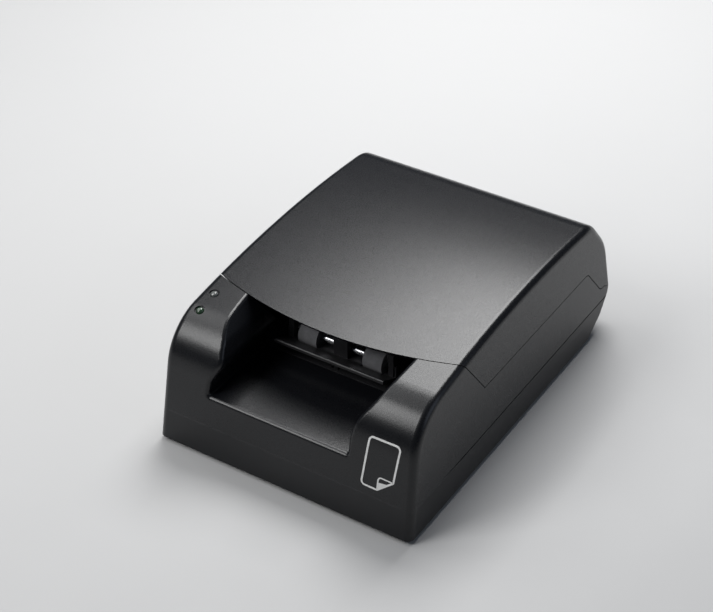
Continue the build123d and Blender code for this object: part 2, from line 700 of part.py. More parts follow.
with BuildPart() as body_shell:
    add(front_form.part)
    add(body_hollow.part, mode=Mode.SUBTRACT)
    for x, depth in BASE_SCREW_PLACES:
        rod((x, depth, PARTING_HEIGHT), (0, 0, 1), 3.2, 13)
        wall_x = math.copysign(half_width(26) - WALL + 0.5, x)
        block((min(x, wall_x), max(x, wall_x)), (depth - 0.8, depth + 0.8), (PARTING_HEIGHT, 26))
    for side in (-1, 1):
        column = (side * CATCH_X, CATCH_DEPTH, COVER_DECK - CATCH_COLUMN)
        rod(column, (0, 0, 1), MAGNET_RADIUS + 1.4, CATCH_COLUMN)
    for depth_range in INDICATOR_SHELF_DEPTHS:
        shelf_heights = (INDICATOR_BOARD_HEIGHT - 2, INDICATOR_BOARD_HEIGHT)
        block((-INDICATOR_WALL - 0.5, LIGHT_X + 3.9), depth_range, shelf_heights)
    add(cover_space, mode=Mode.SUBTRACT)
    add(mouth_space(0, 60), mode=Mode.SUBTRACT)
    block((-80, 80), (-20, CASE_DEPTH + 20), (-20, PARTING_HEIGHT), mode=Mode.SUBTRACT)
    # way through the deck for the card lane
    above_guide = (GUIDE_TOP - 1, COVER_SEAM_HEIGHT + 3)
    block((LANE_LEFT, LANE_RIGHT), (45, LANE_END), above_guide, mode=Mode.SUBTRACT)
    block(
        (GUIDE_LEFT - GUIDE_CLEARANCE, GUIDE_RIGHT + GUIDE_CLEARANCE),
        (GUIDE_START - GUIDE_CLEARANCE, LANE_END + GUIDE_WALL + GUIDE_CLEARANCE),
        (BED_UNDERSIDE - GUIDE_CLEARANCE, GUIDE_TOP),
        mode=Mode.SUBTRACT,
    )
    # slot in the sloping rear deck for the cover's flat cable
    block(
        (CABLE_RANGE[0] - 0.5, CABLE_RANGE[1] + 0.5),
        (CABLE_CROSSING - 1.6, CABLE_CROSSING + 1.6),
        (16, 32),
        mode=Mode.SUBTRACT,
    )
    add(hinge_ears.part)
    for start in EAR_STARTS:
        bore = HINGE_PIN_RADIUS + PRESS_CLEARANCE
        cross_rod(start - 1, HINGE_DEPTH, HINGE_HEIGHT, bore, HINGE_EAR_THICKNESS + 2, mode=Mode.SUBTRACT)
    for side in (-1, 1):
        pocket = (side * CATCH_X, CATCH_DEPTH, COVER_DECK - MAGNET_HEIGHT)
        rod(pocket, (0, 0, 1), MAGNET_RADIUS + SCREW_HOLE_CLEARANCE, 6, mode=Mode.SUBTRACT)
    for x, depth in BASE_SCREW_PLACES:
        rod((x, depth, PARTING_HEIGHT - 1), (0, 0, 1), SCREW_HOLE, 10, mode=Mode.SUBTRACT)
    for x, depth in GUIDE_SCREW_PLACES:
        rod((x, depth, GUIDE_TOP - 1), (0, 0, 1), SMALL_SCREW_PASS, 6, mode=Mode.SUBTRACT)
    for surface, normal in LIGHT_FRAMES:
        inner = (LIGHT_X, surface[0] - 5 * normal[0], surface[1] - 5 * normal[1])
        rod(inner, (0, normal[0], normal[1]), LIGHT_RADIUS + LIGHT_CLEARANCE, 8, mode=Mode.SUBTRACT)
        ring = (LIGHT_X, surface[0] - LIGHT_RING_DROP * normal[0], surface[1] - LIGHT_RING_DROP * normal[1])
        rod(ring, (0, normal[0], normal[1]), LIGHT_RING_RADIUS, 4, mode=Mode.SUBTRACT)
save(body_shell, "body_shell")


# Top cover with its hinge bead, screw bosses and strike bosses

UPPER_POST_COLUMNS = (LANE_CENTRE - UPPER_POST_X, LANE_CENTRE + UPPER_POST_X)
UPPER_POST_PLACES = [(x, depth) for x in UPPER_POST_COLUMNS for depth in UPPER_POST_DEPTHS]

with BuildPart() as cover_hollow:
    add(case_inside)
    cross_rod(-80, HINGE_DEPTH, HINGE_HEIGHT, HINGE_BEAD_RADIUS, 160, mode=Mode.SUBTRACT)

with BuildPart() as cover_bosses:
    for x, depth in UPPER_POST_PLACES:
        rod((x, depth, UPPER_POST_TOP), (0, 0, 1), UPPER_POST_RADIUS - 0.6, 30)
    for side in (-1, 1):
        strike_top = STRIKE_BOTTOM + STRIKE_HEIGHT
        rod((side * CATCH_X, CATCH_DEPTH, strike_top), (0, 0, 1), MAGNET_RADIUS + 0.6, 30)
    add(casing_form(WALL / 2), mode=Mode.INTERSECT)

with BuildPart() as top_cover:
    add(case_outside)
    add(cover_region(0), mode=Mode.INTERSECT)
    add(cover_hollow.part, mode=Mode.SUBTRACT)
    add(cover_bosses.part)
    for x, depth in UPPER_POST_PLACES:
        rod((x, depth, UPPER_POST_TOP - 1), (0, 0, 1), SCREW_HOLE, 9, mode=Mode.SUBTRACT)
    for start in EAR_STARTS:
        notch_start = start - HINGE_EAR_CLEARANCE
        notch_width = HINGE_EAR_THICKNESS + 2 * HINGE_EAR_CLEARANCE
        notch_radius = HINGE_BEAD_RADIUS + 0.2
        cross_rod(notch_start, HINGE_DEPTH, HINGE_HEIGHT, notch_radius, notch_width, mode=Mode.SUBTRACT)
        block(
            (notch_start, notch_start + notch_width),
            (HINGE_DEPTH - 1, CASE_DEPTH + 5),
            (HINGE_HEIGHT - 5, HINGE_HEIGHT),
            mode=Mode.SUBTRACT,
        )
    for side in (-1, 1):
        pin_start = side * HINGE_CENTRE_X - HINGE_SPAN / 2
        bore = HINGE_PIN_RADIUS + HINGE_PIN_CLEARANCE
        cross_rod(pin_start, HINGE_DEPTH, HINGE_HEIGHT, bore, HINGE_SPAN, mode=Mode.SUBTRACT)
save(top_cover, "top_cover")


# Lower card guide: bed, side walls, flanges, rails and the ears that carry the feed shafts

ROLLER_PLACES = [LANE_CENTRE + side * ROLLER_PITCH / 2 for side in (-1, 1)]
FLANGE_RANGE = (GUIDE_FLANGE_START, CASE_DEPTH - GUIDE_FLANGE_SETBACK)

with BuildPart() as lower_guide:
    guide_range = (GUIDE_START, LANE_END + GUIDE_WALL)
    block((GUIDE_LEFT, GUIDE_RIGHT), guide_range, (BED_UNDERSIDE, BED_HEIGHT))
    block((GUIDE_LEFT, GUIDE_RIGHT), (LANE_END, guide_range[1]), (BED_UNDERSIDE, LANE_END_TOP))
    for side in (-1, 1):
        inner = LANE_CENTRE + side * MOUTH_WIDTH / 2
        outer = inner + side * GUIDE_WALL
        rail = LANE_CENTRE + side * LANE_WIDTH / 2
        block(span(inner, outer), guide_range, (BED_UNDERSIDE, GUIDE_TOP))
        block(
            span(outer, outer + side * GUIDE_FLANGE),
            FLANGE_RANGE,
            (GUIDE_TOP - GUIDE_FLANGE_THICKNESS, GUIDE_TOP),
        )
        rail_outline = [(inner, RAIL_START), (rail, RAIL_START + 8), (rail, LANE_END), (inner, LANE_END)]
        prism(level_plane(BED_HEIGHT), rail_outline, RAIL_HEIGHT)
        ear_range = (FRONT_FEED_DEPTH - EAR_END_MARGIN, REAR_FEED_DEPTH + EAR_END_MARGIN)
        block(span(inner, outer), ear_range, (EAR_BOTTOM, BED_UNDERSIDE))
        lever_ear = LANE_CENTRE + side * 2.6
        block(
            span(lever_ear, lever_ear + side * 1.3),
            (LEVER_DEPTH - 2, LEVER_DEPTH + 2),
            (LEVER_HEIGHT - 2.2, BED_UNDERSIDE),
        )
    for x, depth in GUIDE_SCREW_PLACES:
        rod((x, depth, GUIDE_TOP - GUIDE_FLANGE_THICKNESS), (0, 0, -1), 2.3, 2.8)
    # the side walls step down behind the lane, clear of the closed cover
    step = [
        (FLANGE_RANGE[1] + 1, GUIDE_TOP + 1),
        (FLANGE_RANGE[1] + 14, LANE_END_TOP),
        (CASE_DEPTH, LANE_END_TOP),
        (CASE_DEPTH, GUIDE_TOP + 1),
    ]
    prism(side_plane(-60), step, 120, mode=Mode.SUBTRACT)
    for depth in FEED_DEPTHS:
        for x in ROLLER_PLACES:
            half = FEED_ROLLER_WIDTH / 2 + ROLLER_SLOT_CLEARANCE
            chord = half_chord(FEED_ROLLER_RADIUS, BED_UNDERSIDE - FEED_AXIS) + ROLLER_SLOT_CLEARANCE
            through_bed = (BED_UNDERSIDE - 1, BED_HEIGHT + 1)
            block(around(x, half), around(depth, chord), through_bed, Mode.SUBTRACT)
        bush_hole = BUSH_RADIUS + PRESS_CLEARANCE
        cross_rod(GUIDE_LEFT - 1, depth, FEED_AXIS, bush_hole, GUIDE_RIGHT - GUIDE_LEFT + 2, Mode.SUBTRACT)
    half = LOWER_GLASS_WIDTH / 2 + GLASS_CLEARANCE
    reach = SENSOR_GLASS_SPAN / 2 + GLASS_CLEARANCE
    block(
        (LANE_CENTRE - half, LANE_CENTRE + half),
        (SENSOR_DEPTH - reach, SENSOR_DEPTH + reach),
        (BED_UNDERSIDE - 1, BED_HEIGHT + 1),
        Mode.SUBTRACT,
    )
    block(
        (LANE_CENTRE - LEVER_THICKNESS, LANE_CENTRE + LEVER_THICKNESS),
        (LEVER_DEPTH - 1.8, LEVER_DEPTH + LEVER_REACH),
        (BED_UNDERSIDE - 1, BED_HEIGHT + 1),
        Mode.SUBTRACT,
    )
    bore = LEVER_PIN_RADIUS + PRESS_CLEARANCE
    cross_rod(LANE_CENTRE - 5, LEVER_DEPTH, LEVER_HEIGHT, bore, 10, Mode.SUBTRACT)
    for x, depth in GUIDE_SCREW_PLACES:
        rod((x, depth, GUIDE_TOP + 1), (0, 0, -1), SMALL_SCREW_HOLE, 5, Mode.SUBTRACT)
save(lower_guide, "lower_guide")


# Reading heads and their glass

with BuildPart() as lower_sensor:
    half = LOWER_SENSOR_WIDTH / 2
    block(
        (LANE_CENTRE - half, LANE_CENTRE + half),
        (SENSOR_DEPTH - SENSOR_SPAN / 2, SENSOR_DEPTH + SENSOR_SPAN / 2),
        (BED_UNDERSIDE - LOWER_SENSOR_HEIGHT, BED_UNDERSIDE),
    )
    chamfer(lower_sensor.faces().sort_by(Axis.Z)[0].edges(), length=0.8)
    block(
        (LANE_CENTRE - 8, LANE_CENTRE + 8),
        (SENSOR_DEPTH - 2, SENSOR_DEPTH + SENSOR_SPAN / 2 + 0.4),
        (BED_UNDERSIDE - LOWER_SENSOR_HEIGHT + 2, BED_UNDERSIDE - LOWER_SENSOR_HEIGHT + 5),
    )
save(lower_sensor, "lower_sensor")

with BuildPart() as lower_sensor_glass:
    block(
        (LANE_CENTRE - LOWER_GLASS_WIDTH / 2, LANE_CENTRE + LOWER_GLASS_WIDTH / 2),
        (SENSOR_DEPTH - SENSOR_GLASS_SPAN / 2, SENSOR_DEPTH + SENSOR_GLASS_SPAN / 2),
        (BED_UNDERSIDE, BED_HEIGHT - GLASS_SETBACK),
    )
save(lower_sensor_glass, "lower_sensor_glass")

with BuildPart() as upper_sensor:
    half = UPPER_SENSOR_WIDTH / 2
    block(
        (LANE_CENTRE - half, LANE_CENTRE + half),
        (SENSOR_DEPTH - SENSOR_SPAN / 2, SENSOR_DEPTH + SENSOR_SPAN / 2),
        (UPPER_TOP, UPPER_TOP + UPPER_SENSOR_HEIGHT),
    )
    chamfer(upper_sensor.faces().sort_by(Axis.Z)[-1].edges(), length=0.8)
save(upper_sensor, "upper_sensor")

with BuildPart() as upper_sensor_glass:
    block(
        (LANE_CENTRE - UPPER_GLASS_WIDTH / 2, LANE_CENTRE + UPPER_GLASS_WIDTH / 2),
        (SENSOR_DEPTH - SENSOR_GLASS_SPAN / 2, SENSOR_DEPTH + SENSOR_GLASS_SPAN / 2),
        (UPPER_UNDERSIDE + GLASS_SETBACK, UPPER_TOP),
    )
save(upper_sensor_glass, "upper_sensor_glass")


# Feed shafts, rollers and bushes

FEED_SHAFT_LEFT = GUIDE_LEFT - BUSH_FLANGE - 1.0
FEED_SHAFT_RIGHT = GEAR_PLANE + GEAR_WIDTH + 0.5


def feed_shaft(depth, name):
    with BuildPart() as shaft:
        length = FEED_SHAFT_RIGHT - FEED_SHAFT_LEFT
        cross_rod(FEED_SHAFT_LEFT, depth, FEED_AXIS, FEED_SHAFT_RADIUS, length)
        ends = shaft.faces().filter_by(Axis.X).edges()
        chamfer(ends, length=0.25)
    save(shaft, name)


def feed_rollers(depth, name):
    with BuildPart() as rollers:
        for x in ROLLER_PLACES:
            start = x - FEED_ROLLER_WIDTH / 2
            cross_rod(start, depth, FEED_AXIS, FEED_ROLLER_RADIUS, FEED_ROLLER_WIDTH)
            bore = FEED_SHAFT_RADIUS + PRESS_CLEARANCE
            cross_rod(start - 1, depth, FEED_AXIS, bore, FEED_ROLLER_WIDTH + 2, Mode.SUBTRACT)
    save(rollers, name)


feed_shaft(FRONT_FEED_DEPTH, "front_feed_shaft")
feed_shaft(REAR_FEED_DEPTH, "rear_feed_shaft")
feed_rollers(FRONT_FEED_DEPTH, "front_feed_rollers")
feed_rollers(REAR_FEED_DEPTH, "rear_feed_rollers")

with BuildPart() as feed_bushes:
    for depth in FEED_DEPTHS:
        cross_rod(GUIDE_LEFT, depth, FEED_AXIS, BUSH_RADIUS, GUIDE_WALL)
        cross_rod(GUIDE_LEFT - BUSH_FLANGE, depth, FEED_AXIS, BUSH_FLANGE_RADIUS, BUSH_FLANGE)
        cross_rod(LANE_RIGHT, depth, FEED_AXIS, BUSH_RADIUS, GUIDE_WALL)
        cross_rod(GUIDE_RIGHT, depth, FEED_AXIS, BUSH_FLANGE_RADIUS, BUSH_FLANGE)
        bore = FEED_SHAFT_RADIUS + RUNNING_CLEARANCE
        cross_rod(GUIDE_LEFT - 2, depth, FEED_AXIS, bore, GUIDE_RIGHT - GUIDE_LEFT + 4, Mode.SUBTRACT)
save(feed_bushes, "feed_bushes")


# Gears

def involute(angle):
    return math.tan(angle) - angle


def gear_corners(teeth, phase):
    """Corner points of a spur gear with involute flanks and one tooth at the phase angle."""
    pitch = GEAR_MODULE * teeth / 2
    base = pitch * math.cos(math.radians(PRESSURE_ANGLE))
    tip = pitch + TOOTH_ADDENDUM * GEAR_MODULE
    root = pitch - TOOTH_DEDENDUM * GEAR_MODULE
    pitch_half = math.pi / (2 * teeth) - TOOTH_THINNING / 2 / pitch
    radii = [root, max(base, root + 0.02), pitch, (pitch + tip) / 2, tip]
    half_angles = []
    for radius in radii:
        pressure = math.acos(min(1.0, base / radius))
        half_angles.append(pitch_half + involute(math.radians(PRESSURE_ANGLE)) - involute(pressure))
    corners = []
    for tooth in range(teeth):
        middle = phase + 360 * tooth / teeth
        rising = [polar((0, 0), r, middle - math.degrees(a)) for r, a in zip(radii, half_angles)]
        falling = [polar((0, 0), r, middle + math.degrees(a)) for r, a in zip(radii, half_angles)]
        corners += rising + falling[::-1]
    return corners


def direction(a, b):
    return math.degrees(math.atan2(b[1] - a[1], b[0] - a[0]))


def mesh_phase(phase, teeth, centre, next_centre, next_teeth):
    """Phase of the next gear, so that its gap meets a tooth of the gear before it."""
    line = direction(centre, next_centre)
    place = (line - phase) * teeth / 360
    return line + 180 - (0.5 - place) * 360 / next_teeth


def toothed_wheel(centre, teeth, phase, x_start, width, mode=Mode.ADD):
    with BuildSketch(side_plane(x_start)) as wheel:
        with Locations(centre):
            Polygon(*gear_corners(teeth, phase), align=None)
    extrude(wheel.sketch, amount=width, mode=mode)


FRONT_FEED_CENTRE = (FRONT_FEED_DEPTH, FEED_AXIS)
IDLER_CENTRE = (SENSOR_DEPTH, FEED_AXIS)
REAR_FEED_CENTRE = (REAR_FEED_DEPTH, FEED_AXIS)
REDUCTION_CENTRE = polar(REAR_FEED_CENTRE, FEED_PITCH + REDUCTION_PITCH, REDUCTION_DROP_ANGLE)
MOTOR_CENTRE = polar(REDUCTION_CENTRE, LARGE_PITCH + MOTOR_PITCH, MOTOR_DROP_ANGLE)
REAR_PHASE = 0.0
IDLER_PHASE = mesh_phase(REAR_PHASE, FEED_TEETH, REAR_FEED_CENTRE, IDLER_CENTRE, FEED_TEETH)
FRONT_PHASE = mesh_phase(IDLER_PHASE, FEED_TEETH, IDLER_CENTRE, FRONT_FEED_CENTRE, FEED_TEETH)
REDUCTION_PHASE = mesh_phase(
    REAR_PHASE, FEED_TEETH, REAR_FEED_CENTRE, REDUCTION_CENTRE, REDUCTION_SMALL_TEETH
)
MOTOR_PHASE = mesh_phase(
    REDUCTION_PHASE, REDUCTION_LARGE_TEETH, REDUCTION_CENTRE, MOTOR_CENTRE, MOTOR_TEETH
)
POST_RADIUS = 1.5
POST_START = GEAR_PLANE - 0.9


def feed_gear(centre, phase, bore, name):
    with BuildPart() as gear:
        toothed_wheel(centre, FEED_TEETH, phase, GEAR_PLANE, GEAR_WIDTH)
        cross_rod(GEAR_PLANE - 1, *centre, bore, GEAR_WIDTH + 2, Mode.SUBTRACT)
    save(gear, name)


feed_gear(FRONT_FEED_CENTRE, FRONT_PHASE, FEED_SHAFT_RADIUS + PRESS_CLEARANCE, "front_feed_gear")
feed_gear(REAR_FEED_CENTRE, REAR_PHASE, FEED_SHAFT_RADIUS + PRESS_CLEARANCE, "rear_feed_gear")
feed_gear(IDLER_CENTRE, IDLER_PHASE, POST_RADIUS + RUNNING_CLEARANCE, "idler_gear")

with BuildPart() as reduction_gear:
    toothed_wheel(REDUCTION_CENTRE, REDUCTION_SMALL_TEETH, REDUCTION_PHASE, GEAR_PLANE, GEAR_WIDTH)
    hub = REDUCTION_PITCH - TOOTH_DEDENDUM * GEAR_MODULE - 0.05
    cross_rod(GEAR_PLANE, *REDUCTION_CENTRE, hub, LARGE_GEAR_PLANE - GEAR_PLANE + 1)
    large = (REDUCTION_LARGE_TEETH, REDUCTION_PHASE, LARGE_GEAR_PLANE, LARGE_GEAR_WIDTH)
    toothed_wheel(REDUCTION_CENTRE, *large)
    cross_rod(GEAR_PLANE - 1, *REDUCTION_CENTRE, POST_RADIUS + RUNNING_CLEARANCE, 12, Mode.SUBTRACT)
save(reduction_gear, "reduction_gear")

with BuildPart() as motor_pinion:
    toothed_wheel(MOTOR_CENTRE, MOTOR_TEETH, MOTOR_PHASE, LARGE_GEAR_PLANE - 0.2, LARGE_GEAR_WIDTH + 0.2)
    cross_rod(LARGE_GEAR_PLANE - 1, *MOTOR_CENTRE, MOTOR_SHAFT_RADIUS + PRESS_CLEARANCE, 8, Mode.SUBTRACT)
save(motor_pinion, "motor_pinion")

with BuildPart() as motor_shaft:
    cross_rod(LARGE_GEAR_PLANE - 0.5, *MOTOR_CENTRE, MOTOR_SHAFT_RADIUS, 9.3)
save(motor_shaft, "motor_shaft")

with BuildPart() as gear_posts:
    for centre in (IDLER_CENTRE, REDUCTION_CENTRE):
        cross_rod(POST_START, *centre, POST_RADIUS, BRACKET_BACK - POST_START)
save(gear_posts, "gear_posts")

with BuildPart() as post_clips:
    for centre in (IDLER_CENTRE, REDUCTION_CENTRE):
        cross_rod(POST_START + 0.2, *centre, POST_RADIUS + 1.0, 0.5)
        cross_rod(POST_START, *centre, POST_RADIUS, 1.0, Mode.SUBTRACT)
        block(
            (POST_START, POST_START + 1),
            (centre[0] - 0.5, centre[0] + 0.5),
            (centre[1] - 4, centre[1]),
            Mode.SUBTRACT,
        )
save(post_clips, "post_clips")


# Drive bracket and motor

MOTOR_SCREW_CENTRES = [polar(MOTOR_CENTRE, MOTOR_LUG_PITCH / 2, angle) for angle in (0, 180)]

with BuildPart() as drive_bracket:
    plate = [
        (BRACKET_START, BRACKET_PAD_HEIGHT),
        (BRACKET_START, BRACKET_TOP - 4),
        (BRACKET_START + 4, BRACKET_TOP),
        (MOTOR_CENTRE[0] + 6, BRACKET_TOP),
        (BRACKET_END, BRACKET_TOP - 8),
        (BRACKET_END, BRACKET_PAD_HEIGHT),
    ]
    prism(side_plane(BRACKET_PLANE), plate, BRACKET_THICKNESS, [0, 1.5, 1.5, 4, 3, 0])
    block(
        (BRACKET_BACK - BRACKET_FOOT_WIDTH, BRACKET_BACK),
        (BRACKET_START, BRACKET_END),
        (BRACKET_PAD_HEIGHT, BRACKET_PAD_HEIGHT + BRACKET_THICKNESS),
    )
    for centre in (IDLER_CENTRE, REDUCTION_CENTRE):
        cross_rod(BRACKET_PLANE - 1, *centre, POST_RADIUS + PRESS_CLEARANCE, 4, Mode.SUBTRACT)
    cross_rod(BRACKET_PLANE - 1, *MOTOR_CENTRE, 3.0, 4, Mode.SUBTRACT)
    for centre in MOTOR_SCREW_CENTRES:
        cross_rod(BRACKET_PLANE - 1, *centre, SMALL_SCREW_HOLE, 4, Mode.SUBTRACT)
    for x, depth in BRACKET_SCREW_PLACES:
        rod((x, depth, BRACKET_PAD_HEIGHT - 1), (0, 0, 1), SMALL_SCREW_PASS, 4, Mode.SUBTRACT)
save(drive_bracket, "drive_bracket")

with BuildPart() as motor:
    cross_rod(BRACKET_BACK, *MOTOR_CENTRE, MOTOR_RADIUS, MOTOR_LENGTH)
    fillet(motor.faces().sort_by(Axis.X)[-1].edges(), radius=0.8)
    cross_rod(BRACKET_PLANE, *MOTOR_CENTRE, 2.95, BRACKET_THICKNESS)
    with BuildSketch(side_plane(BRACKET_BACK)) as lugs:
        with Locations(MOTOR_CENTRE):
            SlotCenterToCenter(MOTOR_LUG_PITCH, 2 * MOTOR_LUG_RADIUS)
    extrude(lugs.sketch, amount=MOTOR_LUG_THICKNESS)
    for centre in MOTOR_SCREW_CENTRES:
        cross_rod(BRACKET_BACK - 1, *centre, SMALL_SCREW_RADIUS + 0.05, 4, Mode.SUBTRACT)
    cross_rod(BRACKET_PLANE - 1, *MOTOR_CENTRE, MOTOR_SHAFT_RADIUS + RUNNING_CLEARANCE, 8, Mode.SUBTRACT)
save(motor, "motor")


# Upper card guide, carried by the cover

UPPER_LEFT = LANE_CENTRE - UPPER_GUIDE_WIDTH / 2
UPPER_RIGHT = LANE_CENTRE + UPPER_GUIDE_WIDTH / 2
UPPER_END = CASE_DEPTH - UPPER_GUIDE_END_SETBACK
PRESS_SLOT_BOTTOM = PRESS_AXIS - FEED_SHAFT_RADIUS - 0.1
PRESS_SLOT_TOP = PRESS_AXIS + PRESS_TRAVEL + FEED_SHAFT_RADIUS + 0.2
SPRING_SEAT = PRESS_EAR_TOP

with BuildPart() as upper_guide:
    profile = [
        (UPPER_GUIDE_NOSE, UPPER_UNDERSIDE + UPPER_GUIDE_RAMP_RISE),
        (UPPER_GUIDE_RAMP, UPPER_UNDERSIDE),
        (UPPER_END, UPPER_UNDERSIDE),
        (UPPER_END, UPPER_TOP),
        (UPPER_GUIDE_RAMP - 0.5, UPPER_TOP),
        (UPPER_GUIDE_NOSE, UPPER_TOP + UPPER_GUIDE_RAMP_RISE),
    ]
    prism(side_plane(UPPER_LEFT), profile, UPPER_GUIDE_WIDTH, [0.5, 4, 0, 0, 4, 0.5])
    for side in (-1, 1):
        edge = LANE_CENTRE + side * UPPER_GUIDE_WIDTH / 2
        rib_heights = (UPPER_UNDERSIDE, UPPER_TOP + 4.5)
        block(span(edge, edge - side * 0.7), (UPPER_GUIDE_RAMP, UPPER_END), rib_heights)
        ear = LANE_CENTRE + side * PRESS_EAR_OFFSET
        for depth in FEED_DEPTHS:
            block(
                (ear - PRESS_EAR_THICKNESS / 2, ear + PRESS_EAR_THICKNESS / 2),
                (depth - 4, depth + 4),
                (UPPER_UNDERSIDE, PRESS_EAR_TOP),
            )
    for depth in FEED_DEPTHS:
        block((LANE_CENTRE - 3, LANE_CENTRE + 3), (depth - 4, depth + 4), (UPPER_UNDERSIDE, SPRING_SEAT))
    for x, depth in UPPER_POST_PLACES:
        rod((x, depth, UPPER_UNDERSIDE), (0, 0, 1), UPPER_POST_RADIUS, UPPER_POST_TOP - UPPER_UNDERSIDE)
    for depth in FEED_DEPTHS:
        block(
            (UPPER_LEFT - 1, UPPER_RIGHT + 1),
            (depth - FEED_SHAFT_RADIUS - 0.1, depth + FEED_SHAFT_RADIUS + 0.1),
            (PRESS_SLOT_BOTTOM, PRESS_SLOT_TOP),
            Mode.SUBTRACT,
        )
        rod((LANE_CENTRE, depth, SPRING_SEAT + 1), (0, 0, -1), SMALL_SCREW_HOLE, 4.2, Mode.SUBTRACT)
        for x in ROLLER_PLACES:
            half = PRESS_ROLLER_WIDTH / 2 + ROLLER_SLOT_CLEARANCE
            chord = half_chord(PRESS_ROLLER_RADIUS, PRESS_AXIS - UPPER_TOP) + ROLLER_SLOT_CLEARANCE
            through_guide = (UPPER_UNDERSIDE - 1, UPPER_TOP + 2.5)
            block(around(x, half), around(depth, chord), through_guide, Mode.SUBTRACT)
    half = UPPER_GLASS_WIDTH / 2 + GLASS_CLEARANCE
    reach = SENSOR_GLASS_SPAN / 2 + GLASS_CLEARANCE
    block(
        (LANE_CENTRE - half, LANE_CENTRE + half),
        (SENSOR_DEPTH - reach, SENSOR_DEPTH + reach),
        (UPPER_UNDERSIDE - 1, UPPER_TOP),
        Mode.SUBTRACT,
    )
    for x, depth in UPPER_POST_PLACES:
        rod((x, depth, UPPER_UNDERSIDE - 1), (0, 0, 1), SCREW_RADIUS + 0.15, 20, Mode.SUBTRACT)
        rod((x, depth, UPPER_UNDERSIDE - 1), (0, 0, 1), SCREW_HEAD_RADIUS + 0.3, 10.5, Mode.SUBTRACT)
save(upper_guide, "upper_guide")


def press_shaft(depth, name):
    with BuildPart() as shaft:
        reach = PRESS_EAR_OFFSET + 1.7
        cross_rod(LANE_CENTRE - reach, depth, PRESS_AXIS, FEED_SHAFT_RADIUS, 2 * reach)
        chamfer(shaft.faces().filter_by(Axis.X).edges(), length=0.25)
    save(shaft, name)


def press_rollers(depth, name):
    with BuildPart() as rollers:
        for x in ROLLER_PLACES:
            start = x - PRESS_ROLLER_WIDTH / 2
            cross_rod(start, depth, PRESS_AXIS, PRESS_ROLLER_RADIUS, PRESS_ROLLER_WIDTH)
            bore = FEED_SHAFT_RADIUS + RUNNING_CLEARANCE
            cross_rod(start - 1, depth, PRESS_AXIS, bore, PRESS_ROLLER_WIDTH + 2, Mode.SUBTRACT)
    save(rollers, name)


def press_spring(depth, name):
    """Leaf spring: a strip over the rollers whose two legs press on the ends of the shaft."""
    leg = PRESS_EAR_OFFSET - 1.9
    foot = PRESS_AXIS + FEED_SHAFT_RADIUS + 0.25
    top = SPRING_SEAT + 0.1 + SPRING_THICKNESS / 2
    with BuildPart() as spring:
        with BuildSketch(cross_plane(depth - SPRING_WIDTH / 2)) as strip:
            with BuildLine() as path:
                FilletPolyline(
                    (-LANE_CENTRE - leg, foot),
                    (-LANE_CENTRE - leg + 0.6, top),
                    (-LANE_CENTRE + leg - 0.6, top),
                    (-LANE_CENTRE + leg, foot),
                    radius=1.2,
                )
            trace(path.line, line_width=SPRING_THICKNESS)
        extrude(strip.sketch, amount=SPRING_WIDTH)
        rod((LANE_CENTRE, depth, SPRING_SEAT - 1), (0, 0, 1), SMALL_SCREW_PASS, 3, Mode.SUBTRACT)
    save(spring, name)


press_shaft(FRONT_FEED_DEPTH, "front_press_shaft")
press_shaft(REAR_FEED_DEPTH, "rear_press_shaft")
press_rollers(FRONT_FEED_DEPTH, "front_press_rollers")
press_rollers(REAR_FEED_DEPTH, "rear_press_rollers")
press_spring(FRONT_FEED_DEPTH, "front_press_spring")
press_spring(REAR_FEED_DEPTH, "rear_press_spring")


# Hinge pins, catch magnets and their strike plates

with BuildPart() as hinge_pins:
    for side in (-1, 1):
        pin_start = side * HINGE_CENTRE_X - HINGE_SPAN / 2
        cross_rod(pin_start, HINGE_DEPTH, HINGE_HEIGHT, HINGE_PIN_RADIUS, HINGE_SPAN)
    chamfer(hinge_pins.faces().filter_by(Axis.X).edges(), length=0.2)
save(hinge_pins, "hinge_pins")

with BuildPart() as catch_magnets:
    for side in (-1, 1):
        pocket = (side * CATCH_X, CATCH_DEPTH, COVER_DECK - MAGNET_HEIGHT)
        rod(pocket, (0, 0, 1), MAGNET_RADIUS, MAGNET_HEIGHT)
save(catch_magnets, "catch_magnets")

with BuildPart() as strike_plates:
    for side in (-1, 1):
        rod((side * CATCH_X, CATCH_DEPTH, STRIKE_BOTTOM), (0, 0, 1), MAGNET_RADIUS, STRIKE_HEIGHT)
save(strike_plates, "strike_plates")


# Card sensing lever, its pin and its light gate

with BuildPart() as card_lever:
    arm = [
        (LEVER_DEPTH - 1.1, LEVER_HEIGHT - LEVER_TAIL),
        (LEVER_DEPTH - 1.1, LEVER_HEIGHT + LEVER_REACH),
        (LEVER_DEPTH + 1.1, LEVER_HEIGHT + LEVER_REACH),
        (LEVER_DEPTH + 1.1, LEVER_HEIGHT - LEVER_TAIL),
    ]
    prism(side_plane(LANE_CENTRE - LEVER_THICKNESS / 2), arm, LEVER_THICKNESS, 0.9)
    # weighted tail, which brings the lever back upright
    block(
        (LANE_CENTRE - LEVER_THICKNESS / 2, LANE_CENTRE + LEVER_THICKNESS / 2),
        (LEVER_DEPTH - 2, LEVER_DEPTH + 2),
        (LEVER_HEIGHT - LEVER_TAIL, LEVER_HEIGHT - LEVER_TAIL + 3.2),
    )
    cross_rod(LANE_CENTRE - 2.3, LEVER_DEPTH, LEVER_HEIGHT, 1.9, 4.6)
    bore = LEVER_PIN_RADIUS + RUNNING_CLEARANCE
    cross_rod(LANE_CENTRE - 3, LEVER_DEPTH, LEVER_HEIGHT, bore, 6, Mode.SUBTRACT)
save(card_lever, "card_lever")

with BuildPart() as lever_pin:
    cross_rod(LANE_CENTRE - 3.9, LEVER_DEPTH, LEVER_HEIGHT, LEVER_PIN_RADIUS, 7.8)
save(lever_pin, "lever_pin")

